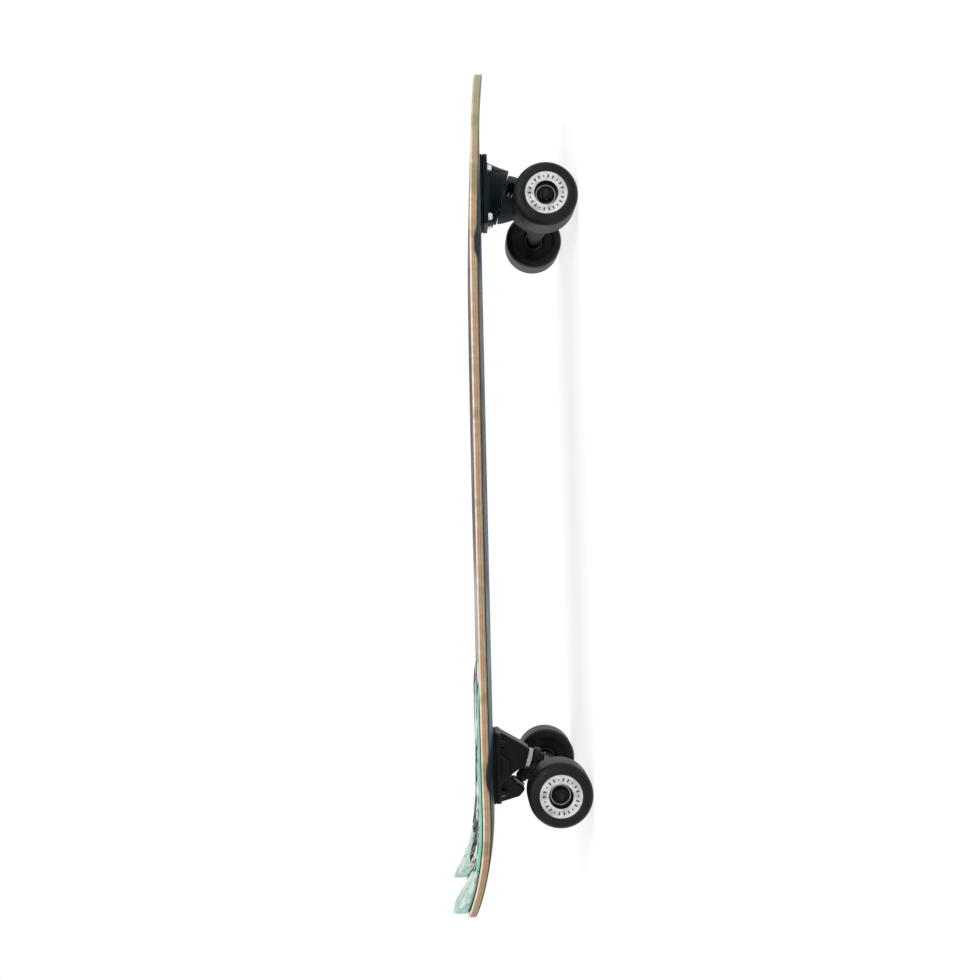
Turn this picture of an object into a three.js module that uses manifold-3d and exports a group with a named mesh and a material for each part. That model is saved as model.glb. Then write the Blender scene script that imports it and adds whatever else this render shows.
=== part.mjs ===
// Surfskate: a kicked swallow-tail deck with a traction pad, a spring-centred swinging front truck,
// a leaning rear truck and four wheels. Millimetres, +Z up, +X to the nose, wheels standing on z = 0.
import * as THREE from 'three';
import { mergeVertices } from 'three/addons/utils/BufferGeometryUtils.js';
import Module from 'manifold-3d';

const wasm = await Module();
wasm.setup();

// Running and seating clearances, and the overrun of every cut past the surface it opens.
const SEAT_GAP = 0.25;
const RUN_GAP = 0.35;
const OVERRUN = 4;
const DEGREE = Math.PI / 180;

// Facets of round pieces.
const FINE_SIDES = 24;
const SMALL_SIDES = 12;
const HEX_SIDES = 6;
const OUTLINE_STEPS = 3;
const CORNER_STEPS = 4;
const WELD = 1e-4;

// Deck.
const DECK_LENGTH = 940;
const DECK_HALF_WIDTH = 120;
const DECK_THICKNESS = 9.1;
const FLAT_HALF_WIDTH = 34;
const RAIL_RISE = 6.5;
const RAIL_BEND_POWER = 1.6;
const RAIL_STRIPS = 5;
const FLAT_NOSE_LENGTH = 220;
const NOSE_STRIPS = 9;
const NOSE_BEND_LENGTH = 102;
const NOSE_BEND_RADIUS = 860;
const KICK_LENGTH = 113;
const KICK_RADIUS = 290;
const KICK_STRIPS = 9;
// The edge from the middle of the nose round to the tail notch: shares of the half length and half width.
const EDGE_SHARES = [
  [1, 0], [0.983, 0.2], [0.962, 0.36], [0.925, 0.53], [0.84, 0.71], [0.67, 0.87], [0.4, 0.975],
  [0.1, 1], [-0.3, 0.992], [-0.66, 0.95], [-0.84, 0.87], [-0.935, 0.76], [-0.982, 0.635],
  [-1, 0.53], [-0.988, 0.43], [-0.95, 0.2], [-0.93, 0],
];
// Scoops under the rails that clear the wheels in a hard turn.
const SCOOP_RADIUS = 54;
const SCOOP_DEPTH = 4.6;
const SCOOP_REACH = 46;
const FRONT_SCOOP_SETBACK = 49;
const REAR_SCOOP_LEAD = 20.5;

// Traction pad and its kick.
const PAD_LENGTH = 258;
const PAD_INSET = 4;
const PAD_CORNER = 44;
const PAD_CORNER_STEPS = 6;
const PAD_FRONT_THICKNESS = 3.4;
const PAD_REAR_THICKNESS = 5.6;
const PAD_STRIPS = 6;
const PAD_BOLT_HOLE_RADIUS = 7;
const KICK_PAD_LENGTH = 58;
const KICK_PAD_RISE = 13.4;
const KICK_PAD_CREST = 52;
const KICK_PAD_STRIPS = 9;
const KICK_LOBE_Y = 51;
const KICK_LOBE_WIDTH = 25;
const KICK_LOBE_STRIPS = 3;
const KICK_VALLEY_SHARE = 0.3;
const PAD_SPLIT_GAP = 0.8;

// Mounting pattern, bolts and nuts.
const BOLT_SPACING_X = 53.98;
const BOLT_SPACING_Y = 41.28;
const BOLT_RADIUS = 2.4;
const BOLT_HEAD_RADIUS = 4.7;
const BOLT_HEAD_DEPTH = 2.9;
const BOLT_TAIL = 1.6;
const MOUNT_NUT_RADIUS = 4.6;
const MOUNT_NUT_HEIGHT = 5;
const NUT_ROOM = 0.7;

// Riser pads and base plates.
const RISER_THICKNESS = 2.5;
const PLATE_THICKNESS = 5.5;
const FRONT_PLATE_LENGTH = 80;
const REAR_PLATE_LENGTH = 79;
const PLATE_WIDTH = 58;
const FRONT_PLATE_LEAD = 4;
const REAR_PLATE_LEAD = 0;
const PLATE_CORNER = 9;
// The middle of each plate, measured from its end of the deck.
const FRONT_PLATE_INSET = 142;
const REAR_PLATE_INSET = 148.5;

// Axles and wheels.
const WHEEL_RADIUS = 34;
const WHEEL_WIDTH = 45;
const TRACK_OUTER = 240;
const TREAD_WIDTH = 33;
const LIP_RADIUS = 28.6;
const LIP_ROUND = 1.6;
const LIP_WIDTH = 4;
const DISH_RADIUS = 22.4;
const DISH_DEPTH = 1.3;
const HUB_MOUTH_RADIUS = 12.6;
const HUB_MOUTH_DEPTH = 1.7;
const HUB_WEB_RADIUS = 9.2;
const HUB_WEB_WIDTH = 10;
const BEARING_RADIUS = 11;
const BEARING_WIDTH = 7;
const AXLE_RADIUS = 3.95;
const AXLE_TAIL = 1.2;
const AXLE_NUT_RADIUS = 7.2;
const AXLE_NUT_HEIGHT = 6.5;
const FRONT_AXLE_SETBACK = 30;
const REAR_AXLE_SETBACK = 10;
const AXLE_DROP = 67;
const BEAM_END_RADIUS = 7.6;

// Front truck: turret under the plate, and the hanger that swings on the pivot bolt.
const PIVOT_TILT = 15 * DEGREE;
const PIVOT_SETBACK = 3;
const PIVOT_DROP = 25.5;
const TURRET_TOP_LENGTH = 72;
const TURRET_TOP_WIDTH = 43;
const TURRET_TOP_LEAD = 5;
const TURRET_FOOT_LEAD = 2;
const TURRET_FOOT_LENGTH = 63;
const TURRET_FOOT_WIDTH = 57;
const PIVOT_BOLT_RADIUS = 5;
const PIVOT_HEAD_RADIUS = 8.2;
const PIVOT_HEAD_HEIGHT = 6;
const PIVOT_HEAD_LIFT = 13;
const PIVOT_NUT_RADIUS = 8.6;
const PIVOT_NUT_HEIGHT = 8;
const SLEEVE_WALL = 2.6;
const NECK_WALL = 3.4;
const THRUST_RADIUS = 12;
const THRUST_THICKNESS = 3;
const THRUST_PROUD = 0.75;
const HEAD_TOP_RADIUS = 28.4;
const HEAD_FOOT_RADIUS = 22;
const HEAD_FOOT_LEAD = 5;
const HEAD_HEIGHT = 20;
const HEAD_FLOOR = 4.6;
const HEAD_LIP_WALL = 11.5;
const WINDOW_LENGTH = 17;
const WINDOW_HEIGHT = 9;
const WINDOW_SILL = 2.2;
const WINDOW_CORNER = 3.2;
const WINDOW_TURN = 15 * DEGREE;
const SPRING_WIRE_RADIUS = 1.6;
const SPRING_MEAN_RADIUS = 14.2;
const SPRING_CURLS = 2.5;
const SPRING_PITCH = 4.1;
const SPRING_STEPS = 8;
const SPRING_SIDES = 5;
const SPRING_LEG = 3.6;
const FRONT_WEB_HALF_WIDTH = 17;
const FRONT_WEB_THICKNESS = 7.5;
const FRONT_WEB_FLARE_SHARE = 1.4;
const PIVOT_NUT_ROOM = 1.4;
const FRONT_BEAM_HALF_LENGTH = 12.5;
const FRONT_BEAM_HALF_HEIGHT = 11;

// Rear truck: bushing block, jut with the pivot cup, kingpin and leaning hanger.
const KINGPIN_TILT = 16 * DEGREE;
const SEAT_X = 8.2;
const SEAT_DROP = 38.6;
const SEAT_RADIUS = 11.2;
const BLOCK_HALF_WIDTH = 13.4;
const BROW_X = 25;
const BROW_DROP = 33;
const GUSSET_HALF_WIDTH = 25;
const GUSSET_LENGTH = 34;
const GUSSET_HEIGHT = 10;
const JUT_HALF_WIDTH = 12.6;
const JUT_TIP_SHARE = 1.15;
const JUT_ROOT_SHARE = 1.2;
const JUT_BEVEL_SHARE = 0.8;
const CUP_X = -19.4;
const CUP_DROP = 28;
const CUP_RADIUS = 8.4;
const CUP_DEPTH = 9.5;
const CUP_RIM = 2.6;
const CUP_FLOOR = 2;
const PIVOT_PIN_RADIUS = 4.6;
const PIN_TIP_SHARE = 0.6;
const ARM_RADIUS = 7;
const ARM_STRAIGHT_SHARE = 0.42;
const KINGPIN_RADIUS = 4.7;
const KINGPIN_HEAD_RADIUS = 7.6;
const KINGPIN_HEAD_HEIGHT = 5.6;
const KINGPIN_HEAD_LIFT = 27;
const KINGPIN_NUT_RADIUS = 7.4;
const KINGPIN_NUT_HEIGHT = 5;
const UPPER_BUSHING_RADIUS = 10.7;
const UPPER_BUSHING_HEIGHT = 5.2;
const RING_RADIUS = 13;
const RING_BORE_RADIUS = 8.2;
const RING_HEIGHT = 8;
const LOWER_BUSHING_RADIUS = 9.8;
const LOWER_BUSHING_TIP_RADIUS = 8.4;
const LOWER_BUSHING_HEIGHT = 4.4;
const CUP_WASHER_RADIUS = 10.2;
const CUP_WASHER_THICKNESS = 1.4;
const REAR_WEB_HALF_WIDTH = 8;
const LEAN_RANGE = 12 * DEGREE;
const LEAN_CUTS = 4;
const LEAN_ROOM = 0.9;
const REAR_BEAM_HALF_LENGTH = 11.5;
const REAR_BEAM_HALF_HEIGHT = 11.5;
const BEAM_SHOULDER_SHARE = 0.42;
// The part of the hanger web on the axle beam: shares of the beam's half length and half height.
const WEB_BEAM_SHARES = [[-0.9, 0.4], [-0.4, -0.9], [0.8, -0.5]];
const WEB_ARM_SHARES = [-0.7, -0.5];

// Heights and places that follow from the sizes above.
const WHEEL_STEP = Math.PI / FINE_SIDES;
const AXLE_Z = WHEEL_RADIUS * Math.cos(WHEEL_STEP);
const DECK_Z = AXLE_Z + AXLE_DROP;
const DECK_HALF_LENGTH = DECK_LENGTH / 2;
const NOSE_FADE_X = DECK_HALF_LENGTH - FLAT_NOSE_LENGTH;
const NOSE_BEND_X = DECK_HALF_LENGTH - NOSE_BEND_LENGTH;
const FRONT_PLATE_X = DECK_HALF_LENGTH - FRONT_PLATE_INSET;
const REAR_PLATE_X = REAR_PLATE_INSET - DECK_HALF_LENGTH;
const FRONT_AXLE_X = FRONT_PLATE_X - FRONT_AXLE_SETBACK;
const REAR_AXLE_X = REAR_PLATE_X - REAR_AXLE_SETBACK;
const FRONT_SCOOP_X = FRONT_AXLE_X - FRONT_SCOOP_SETBACK;
const REAR_SCOOP_X = REAR_AXLE_X + REAR_SCOOP_LEAD;
const KICK_X = KICK_LENGTH - DECK_HALF_LENGTH;
const PAD_X = PAD_LENGTH - DECK_HALF_LENGTH;
const KICK_PAD_X = KICK_PAD_LENGTH - DECK_HALF_LENGTH;
const PLATE_TOP = -RISER_THICKNESS - SEAT_GAP * 2;
const PLATE_FOOT = PLATE_TOP - PLATE_THICKNESS;
const WHEEL_Y = (TRACK_OUTER - WHEEL_WIDTH) / 2;
const BEARING_OFFSET = HUB_WEB_WIDTH / 2 + SEAT_GAP + BEARING_WIDTH / 2;
const BEARING_REACH = BEARING_OFFSET + BEARING_WIDTH / 2;
const SHOULDER_Y = WHEEL_Y - BEARING_REACH - RUN_GAP;
const AXLE_NUT_Y = WHEEL_Y + BEARING_REACH + RUN_GAP;
const AXLE_END_Y = AXLE_NUT_Y + AXLE_NUT_HEIGHT + AXLE_TAIL;

// Finishes.
function finish(color, roughness, metalness) {
  return new THREE.MeshStandardMaterial({ color, roughness, metalness });
}
const WOOD = finish(0xb08a5a, 0.5, 0);
const FOAM = finish(0xb9e2d3, 0.85, 0);
const RUBBER = finish(0x17181a, 0.8, 0);
const CASTING = finish(0x1d2025, 0.45, 0.4);
const STEEL = finish(0x9a9b9d, 0.3, 1);
const ZINC = finish(0xd8dadc, 0.25, 1);
const BLACK_STEEL = finish(0x1b1b1d, 0.4, 0.8);
const URETHANE = finish(0x121213, 0.45, 0);
const PALE_URETHANE = finish(0xdcdce0, 0.4, 0);
const BEIGE_URETHANE = finish(0x9b9a8c, 0.6, 0);

// A closed geometry becomes a solid that can be joined and cut, and comes back as a geometry.
function solid(geometry) {
  const bare = geometry.clone();
  bare.deleteAttribute('normal');
  bare.deleteAttribute('uv');
  const merged = mergeVertices(bare, WELD);
  return new wasm.Manifold(new wasm.Mesh({
    numProp: 3,
    vertProperties: new Float32Array(merged.attributes.position.array),
    triVerts: new Uint32Array(merged.index.array),
  }));
}

function shell(body) {
  const mesh = body.getMesh();
  const geometry = new THREE.BufferGeometry();
  geometry.setAttribute('position', new THREE.BufferAttribute(new Float32Array(mesh.vertProperties), 3));
  geometry.setIndex(new THREE.BufferAttribute(new Uint32Array(mesh.triVerts), 1));
  return geometry;
}

function joined(geometries) {
  return geometries.map(solid).reduce((whole, piece) => whole.add(piece));
}

function cutBy(body, geometries) {
  return geometries.map(solid).reduce((whole, piece) => whole.subtract(piece), body);
}

// A turned piece about +Z from a closed profile of [radius, height] points listed upward.
function turned(profile, sides, start = 0) {
  const points = profile.map(([radius, height]) => new THREE.Vector2(radius, height));
  const geometry = new THREE.LatheGeometry(points, sides, start);
  return geometry.rotateX(Math.PI / 2);
}

function rod(radius, low, high, sides = SMALL_SIDES) {
  return turned([[0, low], [radius, low], [radius, high], [0, high]], sides);
}

function ring(outer, inner, low, high, sides = SMALL_SIDES) {
  const profile = [[inner, low], [outer, low], [outer, high], [inner, high], [inner, low]];
  return turned(profile, sides);
}

function along(geometry, direction, origin) {
  const turn = new THREE.Quaternion().setFromUnitVectors(new THREE.Vector3(0, 0, 1), direction);
  return geometry.applyQuaternion(turn).translate(origin.x, origin.y, origin.z);
}

function plateShape(length, width, corner) {
  const shape = new THREE.Shape();
  const right = length / 2;
  const top = width / 2;
  shape.moveTo(right - corner, -top);
  shape.absarc(right - corner, corner - top, corner, -Math.PI / 2, 0);
  shape.absarc(right - corner, top - corner, corner, 0, Math.PI / 2);
  shape.absarc(corner - right, top - corner, corner, Math.PI / 2, Math.PI);
  shape.absarc(corner - right, corner - top, corner, Math.PI, (3 * Math.PI) / 2);
  shape.closePath();
  return shape;
}

function slabOf(shape, low, high, curveSegments = CORNER_STEPS) {
  const depth = high - low;
  const geometry = new THREE.ExtrudeGeometry(shape, { depth, bevelEnabled: false, curveSegments });
  return geometry.translate(0, 0, low);
}

// A side profile of [x, z] points, given a width across Y.
function profiled(points, halfWidth) {
  const shape = new THREE.Shape(points.map(([x, z]) => new THREE.Vector2(x, z)));
  const geometry = new THREE.ExtrudeGeometry(shape, { depth: halfWidth * 2, bevelEnabled: false });
  return geometry.rotateX(Math.PI / 2).translate(0, halfWidth, 0);
}

// A skin through sections of equally many points, closed by a fan at each end.
function lofted(sections) {
  const count = sections[0].length;
  const points = sections.flat();
  const index = [];
  for (let level = 0; level + 1 < sections.length; level += 1) {
    for (let side = 0; side < count; side += 1) {
      const next = (side + 1) % count;
      const a = level * count + side;
      const b = level * count + next;
      index.push(a, b, b + count, a, b + count, a + count);
    }
  }
  const last = (sections.length - 1) * count;
  for (let side = 1; side + 1 < count; side += 1) {
    index.push(0, side + 1, side, last, last + side, last + side + 1);
  }
  const geometry = new THREE.BufferGeometry();
  const places = points.flatMap((point) => [point.x, point.y, point.z]);
  geometry.setAttribute('position', new THREE.Float32BufferAttribute(places, 3));
  geometry.setIndex(index);
  return geometry;
}

// An ellipse of points about a centre, in the plane of two directions.
function ellipse(centre, first, second, sides = SMALL_SIDES) {
  return Array.from({ length: sides }, (_, side) => {
    const angle = (side / sides) * 2 * Math.PI;
    return centre.clone().addScaledVector(first, Math.cos(angle)).addScaledVector(second, Math.sin(angle));
  });
}

// The pressed shape of the deck: how far a point of the underside lies above the flat belly.
function smooth(share) {
  const t = Math.min(Math.max(share, 0), 1);
  return t * t * (3 - 2 * t);
}

function pressedRise(x, y) {
  const across = (Math.abs(y) - FLAT_HALF_WIDTH) / (DECK_HALF_WIDTH - FLAT_HALF_WIDTH);
  const bend = Math.max(across, 0) ** RAIL_BEND_POWER;
  const fade = 1 - smooth((x - NOSE_FADE_X) / FLAT_NOSE_LENGTH);
  const past = Math.max(KICK_X - x, 0);
  const ahead = Math.max(x - NOSE_BEND_X, 0);
  const ends = (past * past) / (2 * KICK_RADIUS) - (ahead * ahead) / (2 * NOSE_BEND_RADIUS);
  return RAIL_RISE * bend * fade + ends;
}

function steps(from, to, count) {
  return Array.from({ length: count + 1 }, (_, at) => from + ((to - from) * at) / count);
}

function acrossLines(extra = []) {
  const half = steps(FLAT_HALF_WIDTH, DECK_HALF_WIDTH + OVERRUN, RAIL_STRIPS).concat(extra);
  const sorted = half.sort((a, b) => a - b);
  return sorted.map((y) => -y).reverse().concat([0], sorted);
}

// A curved sheet between two height functions over a grid of x and y lines.
function sheet(xs, ys, lower, upper) {
  const wide = ys.length;
  const points = [];
  [lower, upper].forEach((height) => {
    xs.forEach((x) => ys.forEach((y) => points.push(x, y, height(x, y))));
  });
  const layer = xs.length * wide;
  const index = [];
  const quad = (a, b, c, d) => index.push(a, b, c, a, c, d);
  for (let i = 0; i + 1 < xs.length; i += 1) {
    for (let j = 0; j + 1 < wide; j += 1) {
      const a = i * wide + j;
      quad(a, a + 1, a + wide + 1, a + wide);
      quad(layer + a, layer + a + wide, layer + a + wide + 1, layer + a + 1);
    }
  }
  for (let i = 0; i + 1 < xs.length; i += 1) {
    const a = i * wide;
    const b = a + wide - 1;
    quad(a, a + wide, layer + a + wide, layer + a);
    quad(b, layer + b, layer + b + wide, b + wide);
  }
  for (let j = 0; j + 1 < wide; j += 1) {
    const b = layer - wide + j;
    quad(j, layer + j, layer + j + 1, j + 1);
    quad(b, b + 1, layer + b + 1, layer + b);
  }
  const geometry = new THREE.BufferGeometry();
  geometry.setAttribute('position', new THREE.Float32BufferAttribute(points, 3));
  geometry.setIndex(index);
  return geometry;
}

// The outline seen from above, drawn in by an inset.
function outline(inset) {
  const edge = EDGE_SHARES.map(([x, y]) => new THREE.Vector2(x * DECK_HALF_LENGTH, y * DECK_HALF_WIDTH));
  const mirrored = edge.slice(1, -1).reverse().map((p) => new THREE.Vector2(p.x, -p.y));
  const closed = edge.concat(mirrored);
  const curve = new THREE.CatmullRomCurve3(closed.map((p) => new THREE.Vector3(p.x, p.y, 0)), true);
  const points = steps(0, 1, closed.length * OUTLINE_STEPS).slice(0, -1).map((share) => {
    const at = curve.getPoint(share);
    const ahead = curve.getTangent(share);
    return new THREE.Vector2(at.x - ahead.y * inset, at.y + ahead.x * inset);
  });
  return new THREE.Shape(points);
}

function outlined(inset) {
  const reach = DECK_THICKNESS + RAIL_RISE + KICK_LENGTH;
  return slabOf(outline(inset), -reach, reach);
}

function boltPlaces() {
  const places = [];
  [1, -1].forEach((x) => {
    [1, -1].forEach((y) => places.push([(x * BOLT_SPACING_X) / 2, (y * BOLT_SPACING_Y) / 2]));
  });
  return places;
}

function boltHoles(plateX, radius, low, high) {
  return boltPlaces().map(([x, y]) => rod(radius, low, high).translate(plateX + x, y, 0));
}

function countersinks(plateX) {
  const wide = BOLT_HEAD_RADIUS + SEAT_GAP * 2;
  const narrow = BOLT_RADIUS + RUN_GAP;
  const foot = DECK_THICKNESS - BOLT_HEAD_DEPTH - SEAT_GAP * 2;
  const profile = [[0, foot], [narrow, foot], [wide, DECK_THICKNESS], [wide, DECK_THICKNESS + OVERRUN]];
  profile.push([0, DECK_THICKNESS + OVERRUN]);
  return boltPlaces().map(([x, y]) => turned(profile, SMALL_SIDES).translate(plateX + x, y, 0));
}

function scoops(x) {
  return [1, -1].map((side) => {
    const ball = new THREE.SphereGeometry(1, SMALL_SIDES * 2, SMALL_SIDES);
    const railZ = pressedRise(x, DECK_HALF_WIDTH);
    const foot = railZ + SCOOP_DEPTH - SCOOP_RADIUS;
    return ball.scale(SCOOP_RADIUS, SCOOP_REACH, SCOOP_RADIUS).translate(x, side * DECK_HALF_WIDTH, foot);
  });
}

function deckLines() {
  const nose = steps(DECK_HALF_LENGTH + OVERRUN, NOSE_FADE_X, NOSE_STRIPS);
  const tail = steps(KICK_X, -DECK_HALF_LENGTH - OVERRUN, KICK_STRIPS);
  return nose.concat(tail).reverse();
}

function deck() {
  const under = (x, y) => pressedRise(x, y);
  const over = (x, y) => under(x, y) + DECK_THICKNESS;
  const blank = solid(sheet(deckLines(), acrossLines(), under, over)).intersect(solid(outlined(0)));
  const cuts = [FRONT_PLATE_X, REAR_PLATE_X].flatMap((x) => [
    ...boltHoles(x, BOLT_RADIUS + RUN_GAP, -OVERRUN, DECK_THICKNESS + OVERRUN),
    ...countersinks(x),
  ]);
  return shell(cutBy(blank, cuts.concat(scoops(FRONT_SCOOP_X), scoops(REAR_SCOOP_X))));
}

// The pad follows the deck's top, and thickens towards the tail.
function padThickness(x) {
  const share = Math.min(Math.max((PAD_X - x) / (PAD_X - KICK_PAD_X), 0), 1);
  return PAD_FRONT_THICKNESS + (PAD_REAR_THICKNESS - PAD_FRONT_THICKNESS) * share;
}

function padFoot(x, y) {
  return pressedRise(x, y) + DECK_THICKNESS + SEAT_GAP;
}

function padSheet() {
  const flat = steps(PAD_X + OVERRUN, KICK_X, PAD_STRIPS);
  const bent = steps(KICK_X, KICK_PAD_X + PAD_SPLIT_GAP, Math.round(KICK_STRIPS / 2));
  const xs = flat.concat(bent.slice(1)).reverse();
  const top = (x, y) => padFoot(x, y) + padThickness(x);
  const body = solid(sheet(xs, acrossLines(), padFoot, top)).intersect(solid(outlined(PAD_INSET)));
  const front = plateShape(PAD_LENGTH * 2, (DECK_HALF_WIDTH - PAD_INSET) * 2, PAD_CORNER);
  const reach = DECK_THICKNESS + KICK_LENGTH;
  const limit = slabOf(front, -OVERRUN, reach, PAD_CORNER_STEPS);
  const rounded = body.intersect(solid(limit.translate(PAD_X - PAD_LENGTH, 0, 0)));
  return shell(cutBy(rounded, boltHoles(REAR_PLATE_X, PAD_BOLT_HOLE_RADIUS, 0, reach)));
}

// Two lobes rise to a crest near the fork tips and fall away behind it, with a valley between them.
function kickRise(x, y) {
  const past = KICK_PAD_X - x;
  const climb = smooth(past / KICK_PAD_CREST);
  const fall = 1 - smooth((past - KICK_PAD_CREST) / (KICK_PAD_LENGTH - KICK_PAD_CREST)) * KICK_VALLEY_SHARE;
  const away = (Math.abs(y) - KICK_LOBE_Y) / KICK_LOBE_WIDTH;
  const lobe = KICK_VALLEY_SHARE + (1 - KICK_VALLEY_SHARE) * Math.exp(-away * away);
  return PAD_REAR_THICKNESS + KICK_PAD_RISE * climb * fall * lobe;
}

function kickPad() {
  const xs = steps(-DECK_HALF_LENGTH - OVERRUN, KICK_PAD_X, KICK_PAD_STRIPS);
  const lobes = steps(0, FLAT_HALF_WIDTH, KICK_LOBE_STRIPS).slice(1, -1);
  const top = (x, y) => padFoot(x, y) + kickRise(x, y);
  const body = solid(sheet(xs, acrossLines(lobes), padFoot, top));
  return shell(body.intersect(solid(outlined(PAD_INSET))));
}

// Mounting hardware.
function mountBolt() {
  const top = DECK_THICKNESS - SEAT_GAP;
  const foot = PLATE_FOOT - SEAT_GAP - MOUNT_NUT_HEIGHT - BOLT_TAIL;
  const neck = top - BOLT_HEAD_DEPTH;
  const profile = [[0, foot], [BOLT_RADIUS, foot], [BOLT_RADIUS, neck], [BOLT_HEAD_RADIUS, top], [0, top]];
  return turned(profile, SMALL_SIDES);
}

function hexNut(radius, bore, low, high) {
  const body = solid(rod(radius, low, high, HEX_SIDES));
  return shell(cutBy(body, [rod(bore, low - OVERRUN, high + OVERRUN)]));
}

function mountNut() {
  const top = PLATE_FOOT - SEAT_GAP;
  return hexNut(MOUNT_NUT_RADIUS, BOLT_RADIUS + SEAT_GAP, top - MOUNT_NUT_HEIGHT, top);
}

function nutPockets() {
  return boltPlaces().map(([x, y]) => {
    const pocket = rod(MOUNT_NUT_RADIUS + NUT_ROOM, PLATE_FOOT - AXLE_DROP, PLATE_FOOT);
    return pocket.translate(x, y, 0);
  });
}

function riser(plateLength, lead) {
  const shape = plateShape(plateLength, PLATE_WIDTH, PLATE_CORNER);
  const body = solid(slabOf(shape, -RISER_THICKNESS - SEAT_GAP, -SEAT_GAP).translate(lead, 0, 0));
  return shell(cutBy(body, boltHoles(0, BOLT_RADIUS + RUN_GAP, -RISER_THICKNESS - OVERRUN, OVERRUN)));
}

function plateSlab(plateLength, lead) {
  const slab = slabOf(plateShape(plateLength, PLATE_WIDTH, PLATE_CORNER), PLATE_FOOT, PLATE_TOP);
  return slab.translate(lead, 0, 0);
}

// Front truck. The pivot frame has its origin where the turret's foot meets the pivot axis.
const PIVOT_UP = new THREE.Vector3(Math.sin(PIVOT_TILT), 0, Math.cos(PIVOT_TILT));
const PIVOT_AHEAD = new THREE.Vector3(Math.cos(PIVOT_TILT), 0, -Math.sin(PIVOT_TILT));
const PIVOT_ORIGIN = new THREE.Vector3(-PIVOT_SETBACK, 0, -PIVOT_DROP);
const SLEEVE_OUTER = PIVOT_BOLT_RADIUS + RUN_GAP + SLEEVE_WALL;
const NECK_INNER = SLEEVE_OUTER + RUN_GAP;
const NECK_OUTER = NECK_INNER + NECK_WALL;
const THRUST_FOOT = -THRUST_PROUD;
const HEAD_TOP = THRUST_FOOT - SEAT_GAP;
const HEAD_FOOT = HEAD_TOP - HEAD_HEIGHT;

function onPivot(geometry) {
  return along(geometry, PIVOT_UP, PIVOT_ORIGIN);
}

function frontBase() {
  const middleY = new THREE.Vector3(0, 1, 0);
  const levelX = new THREE.Vector3(1, 0, 0);
  const foot = PLATE_TOP - PLATE_THICKNESS / 2;
  const rootLevel = ellipse(
    new THREE.Vector3(TURRET_TOP_LEAD, 0, foot),
    levelX.clone().multiplyScalar(TURRET_TOP_LENGTH / 2),
    middleY.clone().multiplyScalar(TURRET_TOP_WIDTH / 2),
    FINE_SIDES,
  );
  const footLevel = ellipse(
    PIVOT_ORIGIN.clone().addScaledVector(PIVOT_AHEAD, TURRET_FOOT_LEAD),
    PIVOT_AHEAD.clone().multiplyScalar(TURRET_FOOT_LENGTH / 2),
    middleY.clone().multiplyScalar(TURRET_FOOT_WIDTH / 2),
    FINE_SIDES,
  );
  const body = joined([plateSlab(FRONT_PLATE_LENGTH, FRONT_PLATE_LEAD), lofted([footLevel, rootLevel])]);
  const reach = PIVOT_DROP * 2;
  const thrustSeat = THRUST_FOOT + THRUST_THICKNESS + SEAT_GAP;
  const legHole = rod(SPRING_WIRE_RADIUS * 2, -OVERRUN, SPRING_LEG + RUN_GAP);
  const cuts = [
    onPivot(rod(PIVOT_BOLT_RADIUS + RUN_GAP, -OVERRUN, reach)),
    onPivot(rod(PIVOT_HEAD_RADIUS + RUN_GAP, PIVOT_HEAD_LIFT, reach)),
    onPivot(rod(THRUST_RADIUS + SEAT_GAP, -OVERRUN, thrustSeat, FINE_SIDES)),
    onPivot(legHole.translate(SPRING_MEAN_RADIUS, 0, 0)),
    ...boltHoles(0, BOLT_RADIUS + RUN_GAP, PLATE_FOOT - OVERRUN, OVERRUN),
    ...nutPockets(),
  ];
  return shell(cutBy(body, cuts));
}

// The head leans from its round lip to a foot that is set ahead, and holds a well round its neck.
function frontHead() {
  const level = (radius, lead, z) => ellipse(
    new THREE.Vector3(lead, 0, z),
    new THREE.Vector3(radius, 0, 0),
    new THREE.Vector3(0, radius, 0),
    FINE_SIDES,
  );
  return lofted([level(HEAD_FOOT_RADIUS, HEAD_FOOT_LEAD, HEAD_FOOT), level(HEAD_TOP_RADIUS, 0, HEAD_TOP)]);
}

function springWell() {
  const wall = HEAD_TOP_RADIUS - HEAD_LIP_WALL;
  const floor = HEAD_FOOT + HEAD_FLOOR;
  const top = HEAD_TOP + OVERRUN;
  const profile = [[NECK_OUTER, floor], [wall, floor], [wall, top], [NECK_OUTER, top], [NECK_OUTER, floor]];
  return turned(profile, FINE_SIDES);
}

// The axle's place in the pivot frame.
function axleInPivot() {
  const offset = new THREE.Vector3(-FRONT_AXLE_SETBACK, 0, -AXLE_DROP).sub(PIVOT_ORIGIN);
  return new THREE.Vector3(offset.dot(PIVOT_AHEAD), 0, offset.dot(PIVOT_UP));
}

// A cross beam tapering from its middle to the axle shoulders.
function beam(centre, halfLength, halfHeight) {
  const level = (y, long, high) => ellipse(
    new THREE.Vector3(centre.x, y, centre.z),
    new THREE.Vector3(0, 0, high),
    new THREE.Vector3(long, 0, 0),
  );
  const shoulder = SHOULDER_Y * BEAM_SHOULDER_SHARE;
  return lofted([
    level(-SHOULDER_Y, BEAM_END_RADIUS, BEAM_END_RADIUS),
    level(-shoulder, halfLength, halfHeight),
    level(shoulder, halfLength, halfHeight),
    level(SHOULDER_Y, BEAM_END_RADIUS, BEAM_END_RADIUS),
  ]);
}

function axleBore(centre) {
  const bore = rod(AXLE_RADIUS + SEAT_GAP, -AXLE_END_Y, AXLE_END_Y);
  return bore.rotateX(Math.PI / 2).translate(centre.x, 0, centre.z);
}

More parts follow.
